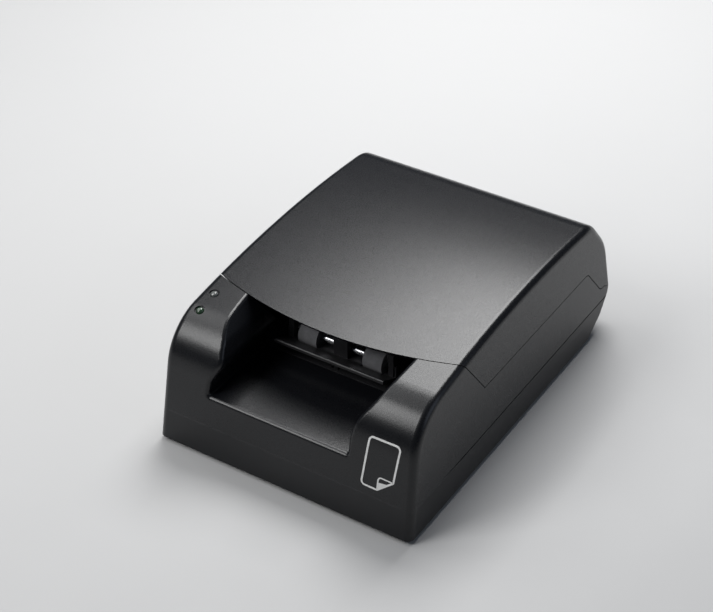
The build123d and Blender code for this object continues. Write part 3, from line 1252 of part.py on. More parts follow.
with BuildPart() as card_switch:
    block(around(LANE_CENTRE, 3.3), around(LEVER_DEPTH, 2.5), (SWITCH_SEAT, SWITCH_SEAT + 8.0))
    gate = (SWITCH_SEAT + 2.5, SWITCH_SEAT + 9)
    block(around(LANE_CENTRE, 1.5), around(LEVER_DEPTH, 4), gate, Mode.SUBTRACT)
save(card_switch, "card_switch")


# Main board, its parts and the sockets at the rear

TAB_CONNECTOR_DEPTH = BOARD_REAR - BOARD_TAB_LENGTH + 4

with BuildPart() as main_board:
    board_heights = (BOARD_BOTTOM, BOARD_TOP)
    block((BOARD_LEFT, BOARD_RIGHT), (BOARD_FRONT, BOARD_STEP), board_heights)
    block((BOARD_WAIST_LEFT, BOARD_RIGHT), (BOARD_STEP - 1, BOARD_REAR), board_heights)
    block((BOARD_RIGHT - 1, BOARD_TAB_RIGHT), (BOARD_REAR - BOARD_TAB_LENGTH, BOARD_REAR), board_heights)
    for x, depth in BOARD_SCREW_PLACES:
        rod((x, depth, BOARD_BOTTOM - 1), (0, 0, 1), SMALL_SCREW_PASS, 4, Mode.SUBTRACT)
save(main_board, "main_board")

with BuildPart() as board_chips:
    block((-18, -4), (100, 114), (BOARD_TOP, BOARD_TOP + 1.4))
    block((2, 12), (98, 104), (BOARD_TOP, BOARD_TOP + 1.2))
    block((2, 12), (108, 114), (BOARD_TOP, BOARD_TOP + 1.2))
    block((-34, -27), (104, 110), (BOARD_TOP, BOARD_TOP + 1.6))
    block((22.5, 27.5), (BOARD_REAR - 11, BOARD_REAR - 4), (BOARD_TOP, BOARD_TOP + 1.6))
    for x, depth in ((-30, 120), (-21, 122), (-14, BOARD_REAR - 7.7)):
        rod((x, depth, BOARD_TOP), (0, 0, 1), 3.0, 7.0)
save(board_chips, "board_chips")

with BuildPart() as board_connectors:
    front_row = around(BOARD_FRONT + 4, 2.5)
    block(around(LANE_CENTRE, 7), front_row, (BOARD_TOP, CONNECTOR_TOP))
    block((BOARD_LEFT + 0.5, BOARD_LEFT + 6.5), front_row, (BOARD_TOP, CONNECTOR_TOP))
    block(CABLE_RANGE, around(TAB_CONNECTOR_DEPTH, 2.5), (BOARD_TOP, CONNECTOR_TOP))
save(board_connectors, "board_connectors")

with BuildPart() as usb_socket:
    block(
        (USB_CENTRE_X - USB_WIDTH / 2, USB_CENTRE_X + USB_WIDTH / 2),
        (SOCKET_PANEL - 9, SOCKET_PANEL),
        (BOARD_TOP, BOARD_TOP + USB_HEIGHT),
    )
    block(
        (USB_CENTRE_X - USB_WIDTH / 2 + 0.4, USB_CENTRE_X + USB_WIDTH / 2 - 0.4),
        (SOCKET_PANEL - 7, SOCKET_PANEL + 1),
        (BOARD_TOP + 0.4, BOARD_TOP + USB_HEIGHT - 0.4),
        Mode.SUBTRACT,
    )
save(usb_socket, "usb_socket")

with BuildPart() as usb_tongue:
    block(
        (USB_CENTRE_X - USB_WIDTH / 2 + 1.4, USB_CENTRE_X + USB_WIDTH / 2 - 1.4),
        (SOCKET_PANEL - 7, SOCKET_PANEL - 0.8),
        (BOARD_TOP + 1.5, BOARD_TOP + 2.5),
    )
save(usb_tongue, "usb_tongue")

POWER_AXIS = BOARD_TOP + POWER_HEIGHT / 2

with BuildPart() as power_socket:
    block(
        (POWER_CENTRE_X - POWER_WIDTH / 2, POWER_CENTRE_X + POWER_WIDTH / 2),
        (SOCKET_PANEL - 12, SOCKET_PANEL),
        (BOARD_TOP, BOARD_TOP + POWER_HEIGHT),
    )
    rod((POWER_CENTRE_X, SOCKET_PANEL - 9, POWER_AXIS), (0, 1, 0), POWER_BORE_RADIUS, 12, Mode.SUBTRACT)
save(power_socket, "power_socket")

with BuildPart() as power_pin:
    rod((POWER_CENTRE_X, SOCKET_PANEL - 9, POWER_AXIS), (0, 1, 0), 0.65, 7.5)
save(power_pin, "power_pin")


# Indicator lights in the left cheek

INDICATOR_BOARD_TOP = INDICATOR_BOARD_HEIGHT + 1.2
LIGHT_BOTTOM = INDICATOR_BOARD_TOP + 1.2


def light_foot(surface, normal):
    """Depth at which a light pipe's axis meets the top of its lamp."""
    drop = (surface[1] - LIGHT_BOTTOM) / normal[1]
    return surface[0] - drop * normal[0]


for (surface, normal), name in zip(LIGHT_FRAMES, ("rear_light_pipe", "front_light_pipe")):
    with BuildPart() as light_pipe:
        start = (LIGHT_X, surface[0] - 16 * normal[0], surface[1] - 16 * normal[1])
        rod(start, (0, normal[0], normal[1]), LIGHT_RADIUS, 16 + LIGHT_PROUD)
        rim = light_pipe.edges().sort_by(Axis.Z)[-1]
        fillet(rim, radius=LIGHT_DOME)
        block(around(LIGHT_X, 10), (-10, 60), (0, LIGHT_BOTTOM), Mode.SUBTRACT)
    save(light_pipe, name)

with BuildPart() as indicator_board:
    board_right = LIGHT_X + 7.1
    board_heights = (INDICATOR_BOARD_HEIGHT, INDICATOR_BOARD_TOP)
    block((-INDICATOR_WALL + 0.3, board_right), (16.0, 32.0), board_heights)
save(indicator_board, "indicator_board")

with BuildPart() as indicator_lamps:
    for surface, normal in LIGHT_FRAMES:
        foot = light_foot(surface, normal)
        block(around(LIGHT_X, 1.4), around(foot, 1.2), (INDICATOR_BOARD_TOP, LIGHT_BOTTOM))
save(indicator_lamps, "indicator_lamps")


# Flat cables

HALF_CABLE = CABLE_THICKNESS / 2
CABLE_END_HEIGHT = CONNECTOR_TOP + 0.05 + HALF_CABLE

with BuildPart() as lower_sensor_cable:
    start_height = BED_UNDERSIDE - LOWER_SENSOR_HEIGHT + 3.5
    start_depth = SENSOR_DEPTH + SENSOR_SPAN / 2 + 0.45
    ribbon(
        side_plane(LANE_CENTRE - 6),
        [
            (start_depth, start_height),
            (start_depth + 3, start_height),
            (start_depth + 8, 11),
            (BOARD_FRONT + 5, CABLE_END_HEIGHT),
        ],
        1.2,
        CABLE_THICKNESS,
        12,
    )
save(lower_sensor_cable, "lower_sensor_cable")

with BuildPart() as indicator_cable:
    ribbon(
        side_plane(BOARD_LEFT + 0.8),
        [
            (22, INDICATOR_BOARD_HEIGHT - 0.05),
            (24, 36),
            (33, 24),
            (37, 10),
            (BOARD_FRONT + 5, CABLE_END_HEIGHT),
        ],
        3.0,
        CABLE_THICKNESS,
        4,
    )
save(indicator_cable, "indicator_cable")

UPPER_CABLE_HEIGHT = UPPER_TOP + UPPER_SENSOR_HEIGHT + 0.05 + HALF_CABLE
CABLE_JOIN_HEIGHT = 30.8

with BuildPart() as cover_cable:
    cable_depths = (SENSOR_DEPTH - 4, SENSOR_DEPTH + 4)
    cable_heights = (UPPER_CABLE_HEIGHT - HALF_CABLE, UPPER_CABLE_HEIGHT + HALF_CABLE)
    block((2, CABLE_RANGE[1]), cable_depths, cable_heights)
    ribbon(
        side_plane(CABLE_RANGE[0]),
        [
            (cable_depths[0], UPPER_CABLE_HEIGHT),
            (CABLE_CROSSING - 22.2, UPPER_CABLE_HEIGHT),
            (CABLE_CROSSING - 6.2, 38),
            (CABLE_CROSSING, CABLE_JOIN_HEIGHT + 0.3),
        ],
        6.0,
        CABLE_THICKNESS,
        CABLE_RANGE[1] - CABLE_RANGE[0],
    )
save(cover_cable, "cover_cable")

with BuildPart() as hinge_cable:
    ribbon(
        side_plane(CABLE_RANGE[0]),
        [
            (CABLE_CROSSING, CABLE_JOIN_HEIGHT - 0.3),
            (CABLE_CROSSING, 13),
            (CABLE_CROSSING - 4, CABLE_END_HEIGHT),
            (TAB_CONNECTOR_DEPTH - 1, CABLE_END_HEIGHT),
        ],
        [2.0, 2.0],
        CABLE_THICKNESS,
        CABLE_RANGE[1] - CABLE_RANGE[0],
    )
save(hinge_cable, "hinge_cable")


# Feet and screws

with BuildPart() as rubber_feet:
    for x, depth in FOOT_PLACES:
        rod((x, depth, -FOOT_GAP), (0, 0, 1), FOOT_RADIUS, FOOT_GAP + FOOT_RECESS)
    lower_rims = rubber_feet.faces().group_by(Axis.Z)[0].edges()
    chamfer(lower_rims, length=0.3)
save(rubber_feet, "rubber_feet")

with BuildPart() as base_screws:
    for x, depth in BASE_SCREW_PLACES:
        screw((x, depth, BASE_COUNTERBORE), (0, 0, 1), SCREW_RADIUS, 15, *SCREW_HEAD)
save(base_screws, "base_screws")

with BuildPart() as guide_screws:
    for x, depth in GUIDE_SCREW_PLACES:
        screw((x, depth, COVER_DECK), (0, 0, -1), SMALL_SCREW_RADIUS, GUIDE_SCREW_LENGTH, *SMALL_HEAD)
save(guide_screws, "guide_screws")

with BuildPart() as upper_guide_screws:
    for x, depth in UPPER_POST_PLACES:
        seat = UPPER_UNDERSIDE - 1 + 10.5
        screw((x, depth, seat), (0, 0, 1), SCREW_RADIUS, 11, *SCREW_HEAD)
save(upper_guide_screws, "upper_guide_screws")

with BuildPart() as board_screws:
    for x, depth in BOARD_SCREW_PLACES:
        screw((x, depth, BOARD_TOP), (0, 0, -1), SMALL_SCREW_RADIUS, BOARD_SCREW_LENGTH, *SMALL_HEAD)
save(board_screws, "board_screws")

with BuildPart() as bracket_screws:
    for x, depth in BRACKET_SCREW_PLACES:
        top = BRACKET_PAD_HEIGHT + BRACKET_THICKNESS
        screw((x, depth, top), (0, 0, -1), SMALL_SCREW_RADIUS, 4.8, *SMALL_HEAD)
save(bracket_screws, "bracket_screws")

with BuildPart() as motor_screws:
    for centre in MOTOR_SCREW_CENTRES:
        seat = BRACKET_BACK + MOTOR_LUG_THICKNESS
        screw((seat, *centre), (-1, 0, 0), SMALL_SCREW_RADIUS, 2.2, *SMALL_HEAD)
save(motor_screws, "motor_screws")

with BuildPart() as spring_screws:
    for depth in FEED_DEPTHS:
        top = SPRING_SEAT + 0.1 + SPRING_THICKNESS
        screw((LANE_CENTRE, depth, top), (0, 0, -1), SMALL_SCREW_RADIUS, 3.4, *SMALL_HEAD)
save(spring_screws, "spring_screws")
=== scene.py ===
"""Card scanner with a hinged top cover: finishes, painted symbol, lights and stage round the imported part."""

import math

import bmesh
import bpy
from bpy.props import FloatProperty, FloatVectorProperty, PointerProperty
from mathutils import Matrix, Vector
from mathutils.bvhtree import BVHTree


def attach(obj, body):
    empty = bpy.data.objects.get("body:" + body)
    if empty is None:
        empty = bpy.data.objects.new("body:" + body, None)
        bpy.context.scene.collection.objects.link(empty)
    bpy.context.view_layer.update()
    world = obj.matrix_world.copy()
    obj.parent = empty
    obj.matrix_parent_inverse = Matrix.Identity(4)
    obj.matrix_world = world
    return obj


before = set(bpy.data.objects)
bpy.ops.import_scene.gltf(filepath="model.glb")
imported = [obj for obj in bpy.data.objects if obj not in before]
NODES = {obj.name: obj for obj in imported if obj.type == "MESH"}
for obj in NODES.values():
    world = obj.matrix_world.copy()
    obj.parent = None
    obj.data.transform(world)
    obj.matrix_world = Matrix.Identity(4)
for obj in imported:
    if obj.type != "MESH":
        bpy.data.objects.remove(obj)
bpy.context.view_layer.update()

bl_info = {
    "name": "Card Scanner",
    "version": (1, 0, 0),
    "blender": (4, 5, 0),
    "location": "View3D > Sidebar > Card Scanner",
    "description": "Finishes and stage for a compact card scanner with a hinged top cover",
    "category": "Object",
}

# Case coordinates: x from the middle, depth from the front edge, height above the underside, in millimetres
MM = 0.001
HALF_DEPTH = 77.95
FOOT_GAP = 1.0


def case_point(x, depth, height):
    """A place on the case, in the row frame."""
    return Vector((x * MM, (depth - HALF_DEPTH) * MM, (height + FOOT_GAP) * MM))


# Sizes and colours that a user would change


def colour_property(name, description, default):
    return FloatVectorProperty(
        name=name, description=description, default=default, min=0.0, max=1.0, size=3, subtype="COLOR"
    )


def length_property(name, description, millimetres, most):
    return FloatProperty(
        name=name, description=description, default=millimetres * MM, min=0.0, max=most * MM,
        precision=5, subtype="DISTANCE", unit="LENGTH",
    )


def power_property(name, description, watts):
    return FloatProperty(name=name, description=description, default=watts, min=0.0, unit="POWER")


class CaseSettings(bpy.types.PropertyGroup):
    """Moulded plastic of the case and cover."""

    colour: colour_property("Case Colour", "Black of the moulded case", (0.0048, 0.0052, 0.0066))
    rub_colour: colour_property("Rubbed Colour", "Paler black where edges are handled", (0.030, 0.030, 0.032))
    grain: length_property("Grain Size", "Width of one grain of the spark-eroded texture", 0.36, most=2.0)
    grain_depth: length_property("Grain Depth", "Depth of the spark-eroded texture", 0.012, most=0.2)


class InsideSettings(bpy.types.PropertyGroup):
    """Parts inside the case and under the cover."""

    guide_colour: colour_property("Guide Colour", "Smooth black of the card guides", (0.022, 0.022, 0.024))
    rubber_colour: colour_property("Rubber Colour", "Grey of the feed rollers", (0.105, 0.105, 0.11))
    gear_colour: colour_property("Gear Colour", "Ivory of the moulded gears", (0.78, 0.76, 0.68))
    board_colour: colour_property("Board Colour", "Green lacquer of the boards", (0.012, 0.105, 0.045))


class SymbolSettings(bpy.types.PropertyGroup):
    """Page outline painted on the right cheek."""

    line_width: length_property("Line Width", "Width of the painted lines", 0.72, most=3.0)
    thickness: length_property("Paint Thickness", "Whole thickness of the paint", 0.03, most=0.2)
    colour: colour_property("Paint Colour", "White of the paint", (0.80, 0.80, 0.79))


class StageSettings(bpy.types.PropertyGroup):
    """Floor and lights."""

    floor_colour: colour_property("Floor Colour", "Pale grey of the floor", (0.46, 0.46, 0.46))
    key_power: power_property("Key Power", "Power of the soft light above and behind the cover", 6.8)
    top_power: power_property("Top Power", "Power of the soft light above and in front of the cheeks", 4.0)
    fill_power: power_property("Fill Power", "Power of the soft light above and to the left", 1.3)
    side_power: power_property("Side Power", "Power of the soft light at the right", 0.8)
    world_strength: FloatProperty(
        name="Room Light", description="Strength of the even light all round", default=0.06, min=0.0
    )


# Node trees

NODE_COLUMN = 190
NODE_ROW = 140
NODE_ROWS = 4


class Tree:
    """Short calls that add nodes to one tree and join them."""

    def __init__(self, tree):
        self.tree = tree
        self.count = 0

    def node(self, kind, **settings):
        made = self.tree.nodes.new(kind)
        made.location = (self.count * NODE_COLUMN, -NODE_ROW * (self.count % NODE_ROWS))
        self.count += 1
        for name, value in settings.items():
            setattr(made, name, value)
        return made

    def feed(self, socket, value):
        """Gives a socket a plain value, or joins another node's output to it."""
        if isinstance(value, bpy.types.NodeSocket):
            self.tree.links.new(value, socket)
        else:
            socket.default_value = value

    def math(self, operation, first, second):
        made = self.node("ShaderNodeMath", operation=operation)
        self.feed(made.inputs[0], first)
        self.feed(made.inputs[1], second)
        return made.outputs[0]

    def times(self, value, factor):
        return self.math("MULTIPLY", value, factor)

    def vector(self, operation, first, second):
        made = self.node("ShaderNodeVectorMath", operation=operation)
        self.feed(made.inputs[0], first)
        self.feed(made.inputs[1], second)
        return made.outputs["Value" if operation == "DOT_PRODUCT" else "Vector"]

    def spread(self, value, low, high, to_low=0.0, to_high=1.0, smooth=False):
        """A value between low and high, moved to the range between to_low and to_high."""
        made = self.node("ShaderNodeMapRange", interpolation_type="SMOOTHSTEP" if smooth else "LINEAR")
        for socket, given in zip(made.inputs, (value, low, high, to_low, to_high)):
            self.feed(socket, given)
        return made.outputs[0]

    def between(self, value, ends):
        """A value from 0 to 1, moved to the range between two ends."""
        return self.spread(value, 0.0, 1.0, *ends)

    def blend(self, factor, first, second):
        made = self.node("ShaderNodeMix", data_type="RGBA")
        self.feed(made.inputs[0], factor)
        self.feed(made.inputs[6], first)
        self.feed(made.inputs[7], second)
        return made.outputs[2]

    def noise(self, place, scale, detail, roughness=0.5):
        made = self.node("ShaderNodeTexNoise")
        self.feed(made.inputs["Vector"], place)
        self.feed(made.inputs["Scale"], scale)
        made.inputs["Detail"].default_value = detail
        made.inputs["Roughness"].default_value = roughness
        return made.outputs["Fac"]

    def place(self):
        """The object's own coordinates, which are the row frame's at rest."""
        return self.node("ShaderNodeTexCoord").outputs["Object"]


def rgba(colour):
    return (*colour, 1.0)


def toned(colour, factor, lift=0.0):
    """A colour made darker or lighter by a factor, then lifted."""
    return [min(1.0, channel * factor + lift) for channel in colour]


# Effects that several finishes share, each a node group

# How fine the second pattern of an effect is, against its first
FINE_GRAINS_PER_GRAIN = 1.7
SMEARS_PER_PATCH = 3.1
BANDS_PER_RING = 0.2

# What fine grain and pits add to the height of the grain
FINE_GRAIN_SHARE = 0.6
PIT_SHARE = 0.5

# How far the rounded and the true normal agree where rubbing starts, and where it is full
RUB_START = 0.995
RUB_FULL = 0.86

# Noise that is drawn out in every direction but along the X axis shows as rings
RING_SCALES = (1.0, 0.06, 0.06)


def fill_grain(tree, given, out):
    """Even pitted texture of moulded or cast surfaces."""
    place = tree.place()
    grains = given["Grains per Metre"]
    pits = tree.node("ShaderNodeTexVoronoi", feature="SMOOTH_F1")
    tree.feed(pits.inputs["Vector"], place)
    tree.feed(pits.inputs["Scale"], grains)
    pits.inputs["Smoothness"].default_value = 0.6
    fine = tree.noise(place, tree.times(grains, FINE_GRAINS_PER_GRAIN), detail=3.0, roughness=0.6)
    fine = tree.times(fine, FINE_GRAIN_SHARE)
    height = tree.math("ADD", fine, tree.times(pits.outputs["Distance"], PIT_SHARE))
    tree.feed(out["Height"], height)
    tree.feed(out["Pits"], tree.spread(height, 0.35, 0.75))


def fill_uneven(tree, given, out):
    """Broad, soft differences in tone and gloss, as left by moulding and handling."""
    place = tree.place()
    patches = given["Patches per Metre"]
    broad = tree.noise(place, patches, detail=4.0, roughness=0.6)
    tree.feed(out["Tone"], tree.spread(broad, 0.3, 0.7))
    smears = tree.noise(place, tree.times(patches, SMEARS_PER_PATCH), detail=5.0, roughness=0.65)
    tree.feed(out["Gloss"], tree.spread(smears, 0.35, 0.65))


def fill_edges(tree, given, out):
    """Mask of the edges that hands and neighbours rub, broken up by noise."""
    rounded = tree.node("ShaderNodeBevel", samples=6)
    tree.feed(rounded.inputs["Radius"], given["Edge Width"])
    surface = tree.node("ShaderNodeNewGeometry").outputs["Normal"]
    agreement = tree.vector("DOT_PRODUCT", rounded.outputs[0], surface)
    edge = tree.spread(agreement, RUB_START, RUB_FULL, smooth=True)
    patchy = tree.noise(tree.place(), given["Breaks per Metre"], detail=4.0, roughness=0.6)
    tree.feed(out["Mask"], tree.times(edge, tree.spread(patchy, 0.35, 0.7, smooth=True)))


def fill_rings(tree, given, out):
    """Fine rings round the X axis, as turning or grinding leaves them."""
    along = tree.vector("MULTIPLY", tree.place(), RING_SCALES)
    rings = given["Rings per Metre"]
    tree.feed(out["Height"], tree.noise(along, rings, detail=3.0, roughness=0.7))
    tree.feed(out["Bands"], tree.noise(along, tree.times(rings, BANDS_PER_RING), detail=2.0))


# For each effect: what fills its group, its inputs with their usual values, and its outputs
EFFECTS = {
    "Moulded Grain": (fill_grain, {"Grains per Metre": 2400.0}, ("Height", "Pits")),
    "Uneven Finish": (fill_uneven, {"Patches per Metre": 40.0}, ("Tone", "Gloss")),
    "Rubbed Edges": (fill_edges, {"Edge Width": 0.0006, "Breaks per Metre": 300.0}, ("Mask",)),
    "Turned Rings": (fill_rings, {"Rings per Metre": 4000.0}, ("Height", "Bands")),
}


def effect_group(name):
    """The node group of an effect, made at its first use."""
    if name not in bpy.data.node_groups:
        fill, inputs, outputs = EFFECTS[name]
        group = bpy.data.node_groups.new(name, "ShaderNodeTree")
        for label, default in inputs.items():
            socket = group.interface.new_socket(name=label, in_out="INPUT", socket_type="NodeSocketFloat")
            socket.default_value = default
        for label in outputs:
            group.interface.new_socket(name=label, in_out="OUTPUT", socket_type="NodeSocketFloat")
        tree = Tree(group)
        fill(tree, tree.node("NodeGroupInput").outputs, tree.node("NodeGroupOutput").inputs)
    return bpy.data.node_groups[name]


def use_effect(tree, name, **values):
    """Places an effect in a material with its own values, and returns its outputs."""
    made = tree.node("ShaderNodeGroup", node_tree=effect_group(name))
    for label, value in values.items():
        tree.feed(made.inputs[label.replace("_", " ")], value)
    return made.outputs


def new_material(name):
    """An empty material: the material, its tree and the inputs of its shader."""
    material = bpy.data.materials.new(name)
    material.use_nodes = True
    material.node_tree.nodes.clear()
    tree = Tree(material.node_tree)
    shader = tree.node("ShaderNodeBsdfPrincipled")
    output = tree.node("ShaderNodeOutputMaterial")
    tree.feed(output.inputs["Surface"], shader.outputs[0])
    return material, tree, shader.inputs


def bump(tree, height, relief):
    """Normal from a height that runs from 0 to 1; relief is its depth in metres."""
    made = tree.node("ShaderNodeBump")
    made.inputs["Strength"].default_value = 1.0
    made.inputs["Distance"].default_value = relief
    tree.feed(made.inputs["Height"], height)
    return made.outputs[0]


# Finishes: lengths are in metres, and gloss is the least and the most roughness

# What rubbed edges take off the roughness, and what pits and smears add to it
RUB_SMOOTHING = 0.08
PIT_ROUGHNESS = 0.05
SMEAR_ROUGHNESS = 0.08

# How much of the second colour shows at most, and how much the pits add to the relief of rubber
STAIN_SHARE = 0.35
BLOOM_SHARE = 0.6
HAZE_SHARE = 0.4
RUBBER_PIT_SHARE = 0.4


def moulded_plastic(
    name, colour, rubbed, grain, depth, gloss, edge=0.0006, patches=45.0, tone=0.05, shine=0.5
):
    """Plastic from a mould: grain, broad unevenness and edges rubbed paler; tone is the colour's spread."""
    material, tree, shader = new_material(name)
    pits = use_effect(tree, "Moulded Grain", Grains_per_Metre=1.0 / grain)
    uneven = use_effect(tree, "Uneven Finish", Patches_per_Metre=patches)
    edges = use_effect(tree, "Rubbed Edges", Edge_Width=edge)
    plain = tree.blend(uneven["Tone"], rgba(toned(colour, 1.0 - tone)), rgba(toned(colour, 1.0 + tone)))
    tree.feed(shader["Base Color"], tree.blend(edges["Mask"], plain, rgba(rubbed)))
    rough = tree.between(uneven["Gloss"], gloss)
    rough = tree.math("SUBTRACT", rough, tree.times(edges["Mask"], RUB_SMOOTHING))
    tree.feed(shader["Roughness"], tree.math("ADD", rough, tree.times(pits["Pits"], PIT_ROUGHNESS)))
    shader["Specular IOR Level"].default_value = shine
    tree.feed(shader["Normal"], bump(tree, pits["Height"], depth))
    return material


def metal(name, colour, dark, rings, gloss, depth=0.000004):
    """Steel parts with fine turning or grinding marks."""
    material, tree, shader = new_material(name)
    turned = use_effect(tree, "Turned Rings", Rings_per_Metre=rings)
    uneven = use_effect(tree, "Uneven Finish", Patches_per_Metre=160.0)
    shader["Metallic"].default_value = 1.0
    stain = tree.times(uneven["Tone"], STAIN_SHARE)
    tree.feed(shader["Base Color"], tree.blend(stain, rgba(colour), rgba(dark)))
    rough = tree.spread(turned["Bands"], 0.2, 0.8, *gloss)
    tree.feed(shader["Roughness"], tree.math("ADD", rough, tree.times(uneven["Gloss"], SMEAR_ROUGHNESS)))
    tree.feed(shader["Normal"], bump(tree, turned["Height"], depth))
    return material


def rubber(name, colour, ribs, depth, gloss=(0.72, 0.88)):
    """Rubber with ground rings round the X axis and a pale bloom."""
    material, tree, shader = new_material(name)
    pits = use_effect(tree, "Moulded Grain", Grains_per_Metre=5200.0)
    turned = use_effect(tree, "Turned Rings", Rings_per_Metre=ribs)
    uneven = use_effect(tree, "Uneven Finish", Patches_per_Metre=260.0)
    bloom = tree.times(uneven["Tone"], BLOOM_SHARE)
    pale = toned(colour, 1.7, lift=0.01)
    tree.feed(shader["Base Color"], tree.blend(bloom, rgba(colour), rgba(pale)))
    tree.feed(shader["Roughness"], tree.between(uneven["Gloss"], gloss))
    shader["Specular IOR Level"].default_value = 0.35
    height = tree.math("ADD", turned["Height"], tree.times(pits["Height"], RUBBER_PIT_SHARE))
    tree.feed(shader["Normal"], bump(tree, height, depth))
    return material


def reading_glass(name):
    """Clear cover glass with faint dust."""
    material, tree, shader = new_material(name)
    uneven = use_effect(tree, "Uneven Finish", Patches_per_Metre=220.0)
    clear, dusty = (0.90, 0.96, 0.95), (0.84, 0.91, 0.90)
    tree.feed(shader["Base Color"], tree.blend(uneven["Tone"], rgba(clear), rgba(dusty)))
    tree.feed(shader["Roughness"], tree.between(uneven["Gloss"], (0.02, 0.12)))
    shader["Transmission Weight"].default_value = 1.0
    shader["IOR"].default_value = 1.5
    return material


def lens_plastic(name, colour, glow, strength):
    """Tinted lens of an indicator, which may be a little lit from below."""
    material, tree, shader = new_material(name)
    uneven = use_effect(tree, "Uneven Finish", Patches_per_Metre=700.0)
    deeper = toned(colour, 0.75)
    tree.feed(shader["Base Color"], tree.blend(uneven["Tone"], rgba(deeper), rgba(colour)))
    tree.feed(shader["Roughness"], tree.between(uneven["Gloss"], (0.12, 0.24)))
    faint = toned(glow, 0.6)
    tree.feed(shader["Emission Color"], tree.blend(uneven["Tone"], rgba(faint), rgba(glow)))
    shader["Emission Strength"].default_value = strength
    shader["Transmission Weight"].default_value = 0.35
    shader["Coat Weight"].default_value = 0.5
    return material


def circuit_lacquer(name, colour):
    """Lacquer over copper tracks in some regions, and tinned pads in the others."""
    material, tree, shader = new_material(name)
    place = tree.place()
    tracks = tree.node("ShaderNodeTexBrick", offset=0.5, squash=0.6, squash_frequency=3)
    tree.feed(tracks.inputs["Vector"], place)
    tracks.inputs["Scale"].default_value = 230.0
    tracks.inputs["Mortar Size"].default_value = 0.06
    tracks.inputs["Mortar Smooth"].default_value = 0.2
    regions = tree.spread(tree.noise(place, scale=60.0, detail=1.0), 0.45, 0.5, smooth=True)
    track_mask = tree.times(tracks.outputs["Fac"], regions)
    pads = tree.node("ShaderNodeTexVoronoi", feature="F1", distance="CHEBYCHEV")
    tree.feed(pads.inputs["Vector"], place)
    pads.inputs["Scale"].default_value = 380.0
    pads.inputs["Randomness"].default_value = 0.35
    other_regions = tree.math("SUBTRACT", 1.0, regions)
    pad_mask = tree.times(tree.spread(pads.outputs["Distance"], 0.2, 0.17), other_regions)
    over_copper = toned(colour, 2.1, lift=0.01)
    tin = (0.55, 0.55, 0.53)
    lacquer = tree.blend(track_mask, rgba(colour), rgba(over_copper))
    tree.feed(shader["Base Color"], tree.blend(pad_mask, lacquer, rgba(tin)))
    tree.feed(shader["Metallic"], pad_mask)
    smears = tree.noise(place, scale=500.0, detail=2.0)
    tree.feed(shader["Roughness"], tree.spread(smears, 0.3, 0.7, to_low=0.22, to_high=0.4))
    shader["Coat Weight"].default_value = 0.3
    raised = tree.math("MAXIMUM", track_mask, pad_mask)
    tree.feed(shader["Normal"], bump(tree, raised, relief=0.00003))
    return material


def ribbon_film(name, colour):
    """Flat cable: pale film with its conductors showing as fine lines along the run."""
    material, tree, shader = new_material(name)
    lines = tree.node("ShaderNodeTexWave", wave_type="BANDS", bands_direction="X", wave_profile="SIN")
    tree.feed(lines.inputs["Vector"], tree.place())
    lines.inputs["Scale"].default_value = 310.0
    uneven = use_effect(tree, "Uneven Finish", Patches_per_Metre=120.0)
    conductors = tree.spread(lines.outputs["Fac"], 0.55, 0.75, smooth=True)
    film = tree.blend(conductors, rgba(colour), rgba(toned(colour, 0.62)))
    haze = tree.times(uneven["Tone"], HAZE_SHARE)
    tree.feed(shader["Base Color"], tree.blend(haze, film, rgba(toned(colour, 0.86))))
    tree.feed(shader["Roughness"], tree.between(uneven["Gloss"], (0.32, 0.5)))
    tree.feed(shader["Normal"], bump(tree, conductors, relief=0.00004))
    return material


def paint_finish(name, colour):
    """Screen-printed paint, thin and slightly uneven."""
    material, tree, shader = new_material(name)
    pits = use_effect(tree, "Moulded Grain", Grains_per_Metre=2600.0)
    uneven = use_effect(tree, "Uneven Finish", Patches_per_Metre=300.0)
    thinner = toned(colour, 0.86)
    tree.feed(shader["Base Color"], tree.blend(uneven["Tone"], rgba(thinner), rgba(colour)))
    tree.feed(shader["Roughness"], tree.between(uneven["Gloss"], (0.45, 0.6)))
    tree.feed(shader["Normal"], bump(tree, pits["Height"], relief=0.000012))
    return material


def dress(material, *names):
    """Gives a finish to CAD nodes."""
    for name in names:
        for slot in NODES[name].material_slots:
            slot.material = material


def case_plastic(case, name, gloss, brightness=1.0):
    """Grained black plastic of one casing part; a brightness below 1 makes it a little darker."""
    return moulded_plastic(
        name, toned(case.colour, brightness), case.rub_colour, grain=case.grain, depth=case.grain_depth,
        gloss=gloss, shine=0.4,
    )


# Operators that dress the CAD's own pieces


class DressCase(bpy.types.Operator):
    """Give the body shell and the base tray their grained black plastic"""

    bl_idname = "scanner.dress_case"
    bl_label = "Case"
    bl_options = {"REGISTER", "UNDO"}

    def execute(self, context):
        case = context.scene.scanner_case
        dress(case_plastic(case, "case_plastic", gloss=(0.26, 0.27)), "body_shell")
        dress(case_plastic(case, "base_plastic", gloss=(0.29, 0.31), brightness=0.92), "base_tray")
        return {"FINISHED"}


class DressCover(bpy.types.Operator):
    """Give the hinged top cover its grained black plastic"""

    bl_idname = "scanner.dress_cover"
    bl_label = "Top Cover"
    bl_options = {"REGISTER", "UNDO"}

    def execute(self, context):
        case = context.scene.scanner_case
        dress(case_plastic(case, "cover_plastic", gloss=(0.25, 0.26)), "top_cover")
        return {"FINISHED"}


class DressGuides(bpy.types.Operator):
    """Give the card guides and the sensing lever their smooth black plastic"""

    bl_idname = "scanner.dress_guides"
    bl_label = "Card Guides"
    bl_options = {"REGISTER", "UNDO"}

    def execute(self, context):
        colour = context.scene.scanner_inside.guide_colour
        guide = moulded_plastic(
            "inner_plastic", colour, rubbed=(0.06, 0.06, 0.063), grain=0.0009, depth=0.000008,
            gloss=(0.3, 0.42), edge=0.0004, patches=80.0,
        )
        dress(guide, "lower_guide", "upper_guide", "card_lever")
        return {"FINISHED"}


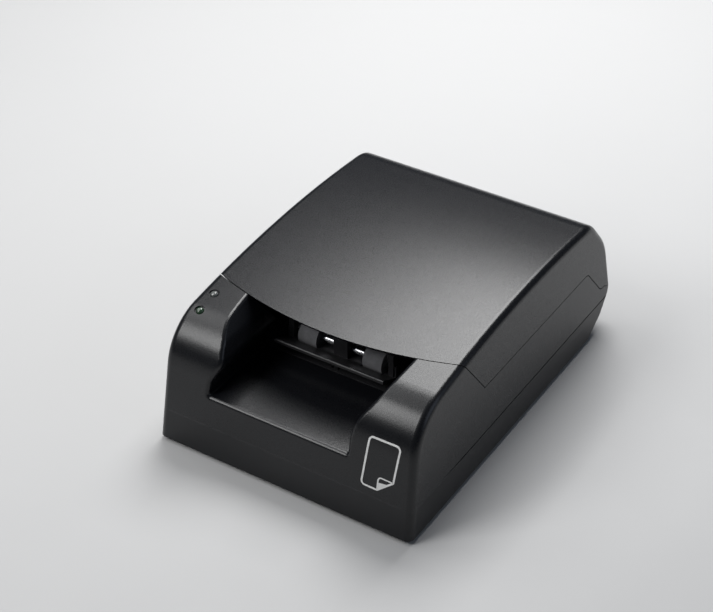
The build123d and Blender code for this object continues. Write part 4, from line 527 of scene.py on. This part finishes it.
class DressReaders(bpy.types.Operator):
    """Give the reading heads and the light gate their dull black housings, and the heads clear glass"""

    bl_idname = "scanner.dress_readers"
    bl_label = "Reading Heads"
    bl_options = {"REGISTER", "UNDO"}

    def execute(self, context):
        housing = moulded_plastic(
            "sensor_plastic", (0.014, 0.014, 0.015), rubbed=(0.04, 0.04, 0.042), grain=0.0004, depth=0.00001,
            gloss=(0.5, 0.62), edge=0.0003, patches=120.0,
        )
        dress(housing, "lower_sensor", "upper_sensor", "card_switch")
        dress(reading_glass("sensor_glass"), "lower_sensor_glass", "upper_sensor_glass")
        return {"FINISHED"}


class DressRollers(bpy.types.Operator):
    """Give the feed and pressure rollers their ground rubber"""

    bl_idname = "scanner.dress_rollers"
    bl_label = "Rollers"
    bl_options = {"REGISTER", "UNDO"}

    def execute(self, context):
        colour = context.scene.scanner_inside.rubber_colour
        feed = rubber("roller_rubber", colour, ribs=1500.0, depth=0.00006)
        dress(feed, "front_feed_rollers", "rear_feed_rollers")
        press = rubber("press_rubber", toned(colour, 1.5), ribs=2600.0, depth=0.00003)
        dress(press, "front_press_rollers", "rear_press_rollers")
        return {"FINISHED"}


class DressShafts(bpy.types.Operator):
    """Give the shafts, pins and posts their ground steel, and the bushes their plastic"""

    bl_idname = "scanner.dress_shafts"
    bl_label = "Shafts and Bushes"
    bl_options = {"REGISTER", "UNDO"}

    def execute(self, context):
        ground = metal("steel", (0.60, 0.61, 0.63), dark=(0.42, 0.42, 0.43), rings=6000.0, gloss=(0.16, 0.3))
        dress(
            ground, "front_feed_shaft", "rear_feed_shaft", "front_press_shaft", "rear_press_shaft",
            "motor_shaft", "hinge_pins", "lever_pin", "gear_posts",
        )
        bush = moulded_plastic(
            "bearing_plastic", (0.66, 0.64, 0.58), rubbed=(0.74, 0.73, 0.69), grain=0.0007, depth=0.000006,
            gloss=(0.3, 0.42), edge=0.0002, patches=200.0, tone=0.06,
        )
        dress(bush, "feed_bushes")
        return {"FINISHED"}


class DressGears(bpy.types.Operator):
    """Give the gear train and the motor's pinion their ivory plastic"""

    bl_idname = "scanner.dress_gears"
    bl_label = "Gears"
    bl_options = {"REGISTER", "UNDO"}

    def execute(self, context):
        colour = context.scene.scanner_inside.gear_colour
        gear = moulded_plastic(
            "gear_plastic", colour, rubbed=toned(colour, 1.08), grain=0.0006, depth=0.000006,
            gloss=(0.34, 0.46), edge=0.0002, patches=220.0,
        )
        dress(gear, "front_feed_gear", "rear_feed_gear", "idler_gear", "reduction_gear", "motor_pinion")
        return {"FINISHED"}


class DressDrive(bpy.types.Operator):
    """Give the motor, its bracket, the screws, the springs and the magnets their metals"""

    bl_idname = "scanner.dress_drive"
    bl_label = "Motor and Bracket"
    bl_options = {"REGISTER", "UNDO"}

    def execute(self, context):
        plated = metal(
            "plated_steel", (0.56, 0.56, 0.57), dark=(0.44, 0.43, 0.40), rings=900.0, gloss=(0.28, 0.42)
        )
        dress(
            plated, "motor", "drive_bracket", "strike_plates", "post_clips", "base_screws", "guide_screws",
            "board_screws", "bracket_screws", "motor_screws", "spring_screws", "upper_guide_screws",
        )
        sprung = metal(
            "spring_steel", (0.42, 0.42, 0.45), dark=(0.28, 0.27, 0.30), rings=1400.0, gloss=(0.2, 0.34)
        )
        dress(sprung, "front_press_spring", "rear_press_spring")
        nickel = metal(
            "magnet", (0.66, 0.66, 0.67), dark=(0.52, 0.51, 0.49), rings=2200.0, gloss=(0.12, 0.22)
        )
        dress(nickel, "catch_magnets")
        return {"FINISHED"}


class DressBoards(bpy.types.Operator):
    """Give the circuit boards their lacquer and tracks, and their parts their own plastics"""

    bl_idname = "scanner.dress_boards"
    bl_label = "Circuit Boards"
    bl_options = {"REGISTER", "UNDO"}

    def execute(self, context):
        board = circuit_lacquer("circuit_board", context.scene.scanner_inside.board_colour)
        dress(board, "main_board", "indicator_board")
        chip = moulded_plastic(
            "chip_plastic", (0.018, 0.018, 0.019), rubbed=(0.05, 0.05, 0.05), grain=0.0002, depth=0.000008,
            gloss=(0.42, 0.55), edge=0.0002, patches=300.0,
        )
        dress(chip, "board_chips")
        shroud = moulded_plastic(
            "connector_plastic", (0.68, 0.65, 0.55), rubbed=(0.76, 0.74, 0.67), grain=0.0005, depth=0.000006,
            gloss=(0.36, 0.48), edge=0.0002, patches=250.0, tone=0.06,
        )
        dress(shroud, "board_connectors", "indicator_lamps")
        return {"FINISHED"}


class DressSockets(bpy.types.Operator):
    """Give the sockets at the rear their plated shell and dark plastic"""

    bl_idname = "scanner.dress_sockets"
    bl_label = "Rear Sockets"
    bl_options = {"REGISTER", "UNDO"}

    def execute(self, context):
        shell = metal(
            "socket_steel", (0.62, 0.62, 0.63), dark=(0.5, 0.49, 0.47), rings=1200.0, gloss=(0.2, 0.32)
        )
        dress(shell, "usb_socket", "power_pin")
        dark = moulded_plastic(
            "socket_plastic", (0.016, 0.016, 0.017), rubbed=(0.05, 0.05, 0.05), grain=0.0003, depth=0.00001,
            gloss=(0.32, 0.44), edge=0.0002, patches=250.0,
        )
        dress(dark, "power_socket", "usb_tongue")
        return {"FINISHED"}


class DressCables(bpy.types.Operator):
    """Give the flat cables their film and conductors"""

    bl_idname = "scanner.dress_cables"
    bl_label = "Flat Cables"
    bl_options = {"REGISTER", "UNDO"}

    def execute(self, context):
        film = ribbon_film("cable_plastic", (0.72, 0.72, 0.70))
        dress(film, "lower_sensor_cable", "indicator_cable", "hinge_cable", "cover_cable")
        return {"FINISHED"}


class DressFeet(bpy.types.Operator):
    """Give the feet their dull rubber"""

    bl_idname = "scanner.dress_feet"
    bl_label = "Feet"
    bl_options = {"REGISTER", "UNDO"}

    def execute(self, context):
        dress(rubber("foot_rubber", (0.045, 0.045, 0.047), ribs=700.0, depth=0.00002), "rubber_feet")
        return {"FINISHED"}


class DressLights(bpy.types.Operator):
    """Give the two indicator lights in the left cheek their clear and green lenses"""

    bl_idname = "scanner.dress_lights"
    bl_label = "Indicator Lights"
    bl_options = {"REGISTER", "UNDO"}

    def execute(self, context):
        clear = lens_plastic("light_clear", (0.16, 0.17, 0.165), glow=(0.8, 0.85, 0.8), strength=0.0)
        dress(clear, "rear_light_pipe")
        green = lens_plastic("light_green", (0.030, 0.060, 0.034), glow=(0.25, 0.9, 0.35), strength=0.01)
        dress(green, "front_light_pipe")
        return {"FINISHED"}


# The painted page: corners in case coordinates, x and height, each with its round, in millimetres
PAGE_CORNERS = [
    ((34.2, 36.4), 1.5), ((46.4, 36.5), 1.6), ((45.0, 21.9), 0.5), ((38.95, 16.7), 0.5), ((32.5, 16.8), 1.4)
]
FOLD_CORNERS = [((38.95, 16.7), 0.0), ((39.1, 22.0), 1.3), ((45.0, 21.9), 0.0)]

# The shade under the folded corner: the two ends of its wide side and its tip, which it nearly reaches
FOLD_SHADE = [(39.35, 19.8), (39.3, 17.4), (42.7, 20.3)]
SHADE_STEPS = 6
SHADE_REACH = 0.97

# The longest step along a line, and the depth at which the search for the case starts, in millimetres
PAINT_STEP = 0.6
SEARCH_DEPTH = -10.0

# Steps round a corner, the share of the paint that stands above the case, and the fold's share of the width
CORNER_STEPS = 6
PAINT_PROUD = 0.6
FOLD_LINE_WIDTH = 0.75


def rounded_line(corners, closed):
    """Points along a line whose corners are rounded, no more than a step apart."""
    count = len(corners)
    points = []
    for index, ((x, y), radius) in enumerate(corners):
        here = Vector((x, y))
        if radius == 0 or (not closed and index in (0, count - 1)):
            points.append(here)
            continue
        before = Vector(corners[index - 1][0]) - here
        after = Vector(corners[(index + 1) % count][0]) - here
        half = before.angle(after) / 2
        reach = radius / math.tan(half)
        start, end = here + before.normalized() * reach, here + after.normalized() * reach
        inward = (before.normalized() + after.normalized()).normalized()
        centre = here + inward * (radius / math.sin(half))
        for step in range(CORNER_STEPS + 1):
            spot = start.lerp(end, step / CORNER_STEPS) - centre
            points.append(centre + spot.normalized() * radius)
    if closed:
        points.append(points[0])
    line = [points[0]]
    for first, second in zip(points, points[1:]):
        pieces = max(1, math.ceil((second - first).length / PAINT_STEP))
        line += [first.lerp(second, n / pieces) for n in range(1, pieces + 1)]
    return line[:-1] if closed else line


def side_lines(line, width, closed):
    """The two sides of a painted line."""
    count = len(line)
    left, right = [], []
    for index, point in enumerate(line):
        before = line[index - 1] if closed or index else point
        after = line[(index + 1) % count] if closed or index < count - 1 else point
        along = (after - before).normalized()
        across = Vector((-along.y, along.x)) * (width / 2)
        left.append(point + across)
        right.append(point - across)
    return left, right


class PaintSymbol(bpy.types.Operator):
    """Paint the page outline with its folded corner on the front of the right cheek"""

    bl_idname = "scanner.paint_symbol"
    bl_label = "Page Symbol"
    bl_options = {"REGISTER", "UNDO"}

    def execute(self, context):
        settings = context.scene.scanner_symbol
        shell = BVHTree.FromObject(NODES["body_shell"], context.evaluated_depsgraph_get())
        mesh = bmesh.new()
        top = settings.thickness * PAINT_PROUD
        bottom = -settings.thickness * (1.0 - PAINT_PROUD)

        def stand(point, lift):
            """A point of the paint on the case's front, lifted off it."""
            start = case_point(point.x, SEARCH_DEPTH, point.y)
            hit, normal, _, _ = shell.ray_cast(start, Vector((0, 1, 0)))
            if hit is None:
                raise RuntimeError("the page symbol misses the right cheek")
            return mesh.verts.new(hit + normal * lift)

        def lay(left, right, closed):
            """A strip of paint between two lines, with its underside and edges."""
            edges = ((left, top), (right, top), (right, bottom), (left, bottom))
            rows = [[stand(point, lift) for point in side] for side, lift in edges]
            count = len(left)
            for index in range(count if closed else count - 1):
                after = (index + 1) % count
                for one, other in zip(rows, rows[1:] + rows[:1]):
                    mesh.faces.new((one[index], other[index], other[after], one[after]))
            if not closed:
                mesh.faces.new([row[0] for row in reversed(rows)])
                mesh.faces.new([row[-1] for row in rows])

        width = settings.line_width / MM
        page = rounded_line(PAGE_CORNERS, closed=True)
        lay(*side_lines(page, width, closed=True), closed=True)
        fold = rounded_line(FOLD_CORNERS, closed=False)
        lay(*side_lines(fold, width * FOLD_LINE_WIDTH, closed=False), closed=False)
        first, second, tip = (Vector(point) for point in FOLD_SHADE)
        shares = [n / SHADE_STEPS * SHADE_REACH for n in range(SHADE_STEPS + 1)]
        lay(*([end.lerp(tip, share) for share in shares] for end in (first, second)), closed=False)

        bmesh.ops.recalc_face_normals(mesh, faces=mesh.faces)
        data = bpy.data.meshes.new("page_symbol")
        mesh.to_mesh(data)
        mesh.free()
        symbol = bpy.data.objects.new("page_symbol", data)
        context.scene.collection.objects.link(symbol)
        data.materials.append(paint_finish("symbol_paint", settings.colour))
        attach(symbol, "base")
        return {"FINISHED"}


# Stage: lengths in metres, turns in degrees, lens and sensor in millimetres

CAMERA_PLACE = (0.2702, -0.4530, 0.42114)
CAMERA_TURN = (53.681, 0.0, 32.390)
CAMERA_LENS = 87.89
CAMERA_SENSOR = 36.0
CAMERA_CLIP = (0.01, 20.0)

FLOOR_REACH = 3.0
FLOOR_CELLS = 8
FLOOR_PATCHES = 3.0
FLOOR_TONE = 0.985
FLOOR_GLOSS = (0.7, 0.85)

ROOM_COLOUR = (0.76, 0.86, 1.0)
NEUTRAL = (1.0, 1.0, 1.0)
COOL = (0.74, 0.83, 1.0)

# Soft lights: name, setting of its power, place, the point that it faces, width and height, colour
LIGHTS = (
    ("key_light", "key_power", (-0.115, 0.385, 0.60), (-0.115, 0.375, 0.0), (0.38, 0.50), NEUTRAL),
    ("top_light", "top_power", (-0.37, -0.53, 0.62), (0.0, -0.05, 0.04), (0.30, 0.46), NEUTRAL),
    ("fill_light", "fill_power", (-0.40, -0.05, 0.62), (0.0, -0.05, 0.04), (0.36, 0.36), NEUTRAL),
    ("side_light", "side_power", (0.75, 0.1, 0.35), (0.0, 0.0, 0.03), (0.6, 0.5), COOL),
)


def lay_floor(scene, settings):
    """Plain pale floor with a faint unevenness of its paint."""
    mesh = bmesh.new()
    bmesh.ops.create_grid(mesh, x_segments=FLOOR_CELLS, y_segments=FLOOR_CELLS, size=FLOOR_REACH)
    data = bpy.data.meshes.new("floor")
    mesh.to_mesh(data)
    mesh.free()
    floor = bpy.data.objects.new("floor", data)
    scene.collection.objects.link(floor)
    material, tree, shader = new_material("floor_paint")
    uneven = use_effect(tree, "Uneven Finish", Patches_per_Metre=FLOOR_PATCHES)
    dimmer = toned(settings.floor_colour, FLOOR_TONE)
    tree.feed(shader["Base Color"], tree.blend(uneven["Tone"], rgba(dimmer), rgba(settings.floor_colour)))
    tree.feed(shader["Roughness"], tree.between(uneven["Gloss"], FLOOR_GLOSS))
    data.materials.append(material)


def hang_light(scene, name, power, place, target, size, colour):
    """Rectangular soft light that faces a point."""
    lamp = bpy.data.lights.new(name, "AREA")
    lamp.shape = "RECTANGLE"
    lamp.size, lamp.size_y = size
    lamp.energy = power
    lamp.color = colour
    holder = bpy.data.objects.new(name, lamp)
    holder.location = place
    aim = Vector(target) - Vector(place)
    holder.rotation_euler = aim.to_track_quat("-Z", "Y").to_euler()
    scene.collection.objects.link(holder)


def light_room(scene, strength):
    """Weak, even light from all round."""
    world = bpy.data.worlds.new("room")
    world.use_nodes = True
    backdrop = world.node_tree.nodes["Background"].inputs
    backdrop["Color"].default_value = rgba(ROOM_COLOUR)
    backdrop["Strength"].default_value = strength
    scene.world = world


def place_camera(scene):
    """Camera that looks from the front right and from above."""
    camera = bpy.data.cameras.new("camera")
    camera.sensor_width = CAMERA_SENSOR
    camera.lens = CAMERA_LENS
    camera.clip_start, camera.clip_end = CAMERA_CLIP
    holder = bpy.data.objects.new("camera", camera)
    holder.location = CAMERA_PLACE
    holder.rotation_euler = [math.radians(angle) for angle in CAMERA_TURN]
    scene.collection.objects.link(holder)
    scene.camera = holder


class SetStage(bpy.types.Operator):
    """Set up the pale floor, the soft lights and the camera"""

    bl_idname = "scanner.set_stage"
    bl_label = "Stage"
    bl_options = {"REGISTER", "UNDO"}

    def execute(self, context):
        scene = context.scene
        settings = scene.scanner_stage
        lay_floor(scene, settings)
        for name, power, *rest in LIGHTS:
            hang_light(scene, name, getattr(settings, power), *rest)
        light_room(scene, settings.world_strength)
        scene.view_settings.view_transform = "Standard"
        place_camera(scene)
        return {"FINISHED"}


class ScannerPanel(bpy.types.Panel):
    """Sizes, colours and making of the card scanner"""

    bl_idname = "VIEW3D_PT_card_scanner"
    bl_label = "Card Scanner"
    bl_space_type = "VIEW_3D"
    bl_region_type = "UI"
    bl_category = "Card Scanner"

    def draw(self, context):
        for group, settings in SETTINGS.items():
            box = self.layout.box()
            for name in settings.__annotations__:
                box.prop(getattr(context.scene, group), name)
        column = self.layout.column()
        for operator in OPERATORS:
            column.operator(operator.bl_idname)


OPERATORS = (
    SetStage, DressCase, DressCover, DressGuides, DressReaders, DressRollers, DressShafts, DressGears,
    DressDrive, DressBoards, DressSockets, DressCables, DressFeet, DressLights, PaintSymbol,
)
SETTINGS = {
    "scanner_case": CaseSettings,
    "scanner_inside": InsideSettings,
    "scanner_symbol": SymbolSettings,
    "scanner_stage": StageSettings,
}


def register():
    for group, settings in SETTINGS.items():
        bpy.utils.register_class(settings)
        setattr(bpy.types.Scene, group, PointerProperty(type=settings))
    for operator in OPERATORS:
        bpy.utils.register_class(operator)
    bpy.utils.register_class(ScannerPanel)


def unregister():
    bpy.utils.unregister_class(ScannerPanel)
    for operator in reversed(OPERATORS):
        bpy.utils.unregister_class(operator)
    for group, settings in reversed(SETTINGS.items()):
        delattr(bpy.types.Scene, group)
        bpy.utils.unregister_class(settings)


def main():
    register()
    for operator in OPERATORS:
        group, name = operator.bl_idname.split(".")
        getattr(getattr(bpy.ops, group), name)()


if __name__ == "__main__":
    main()
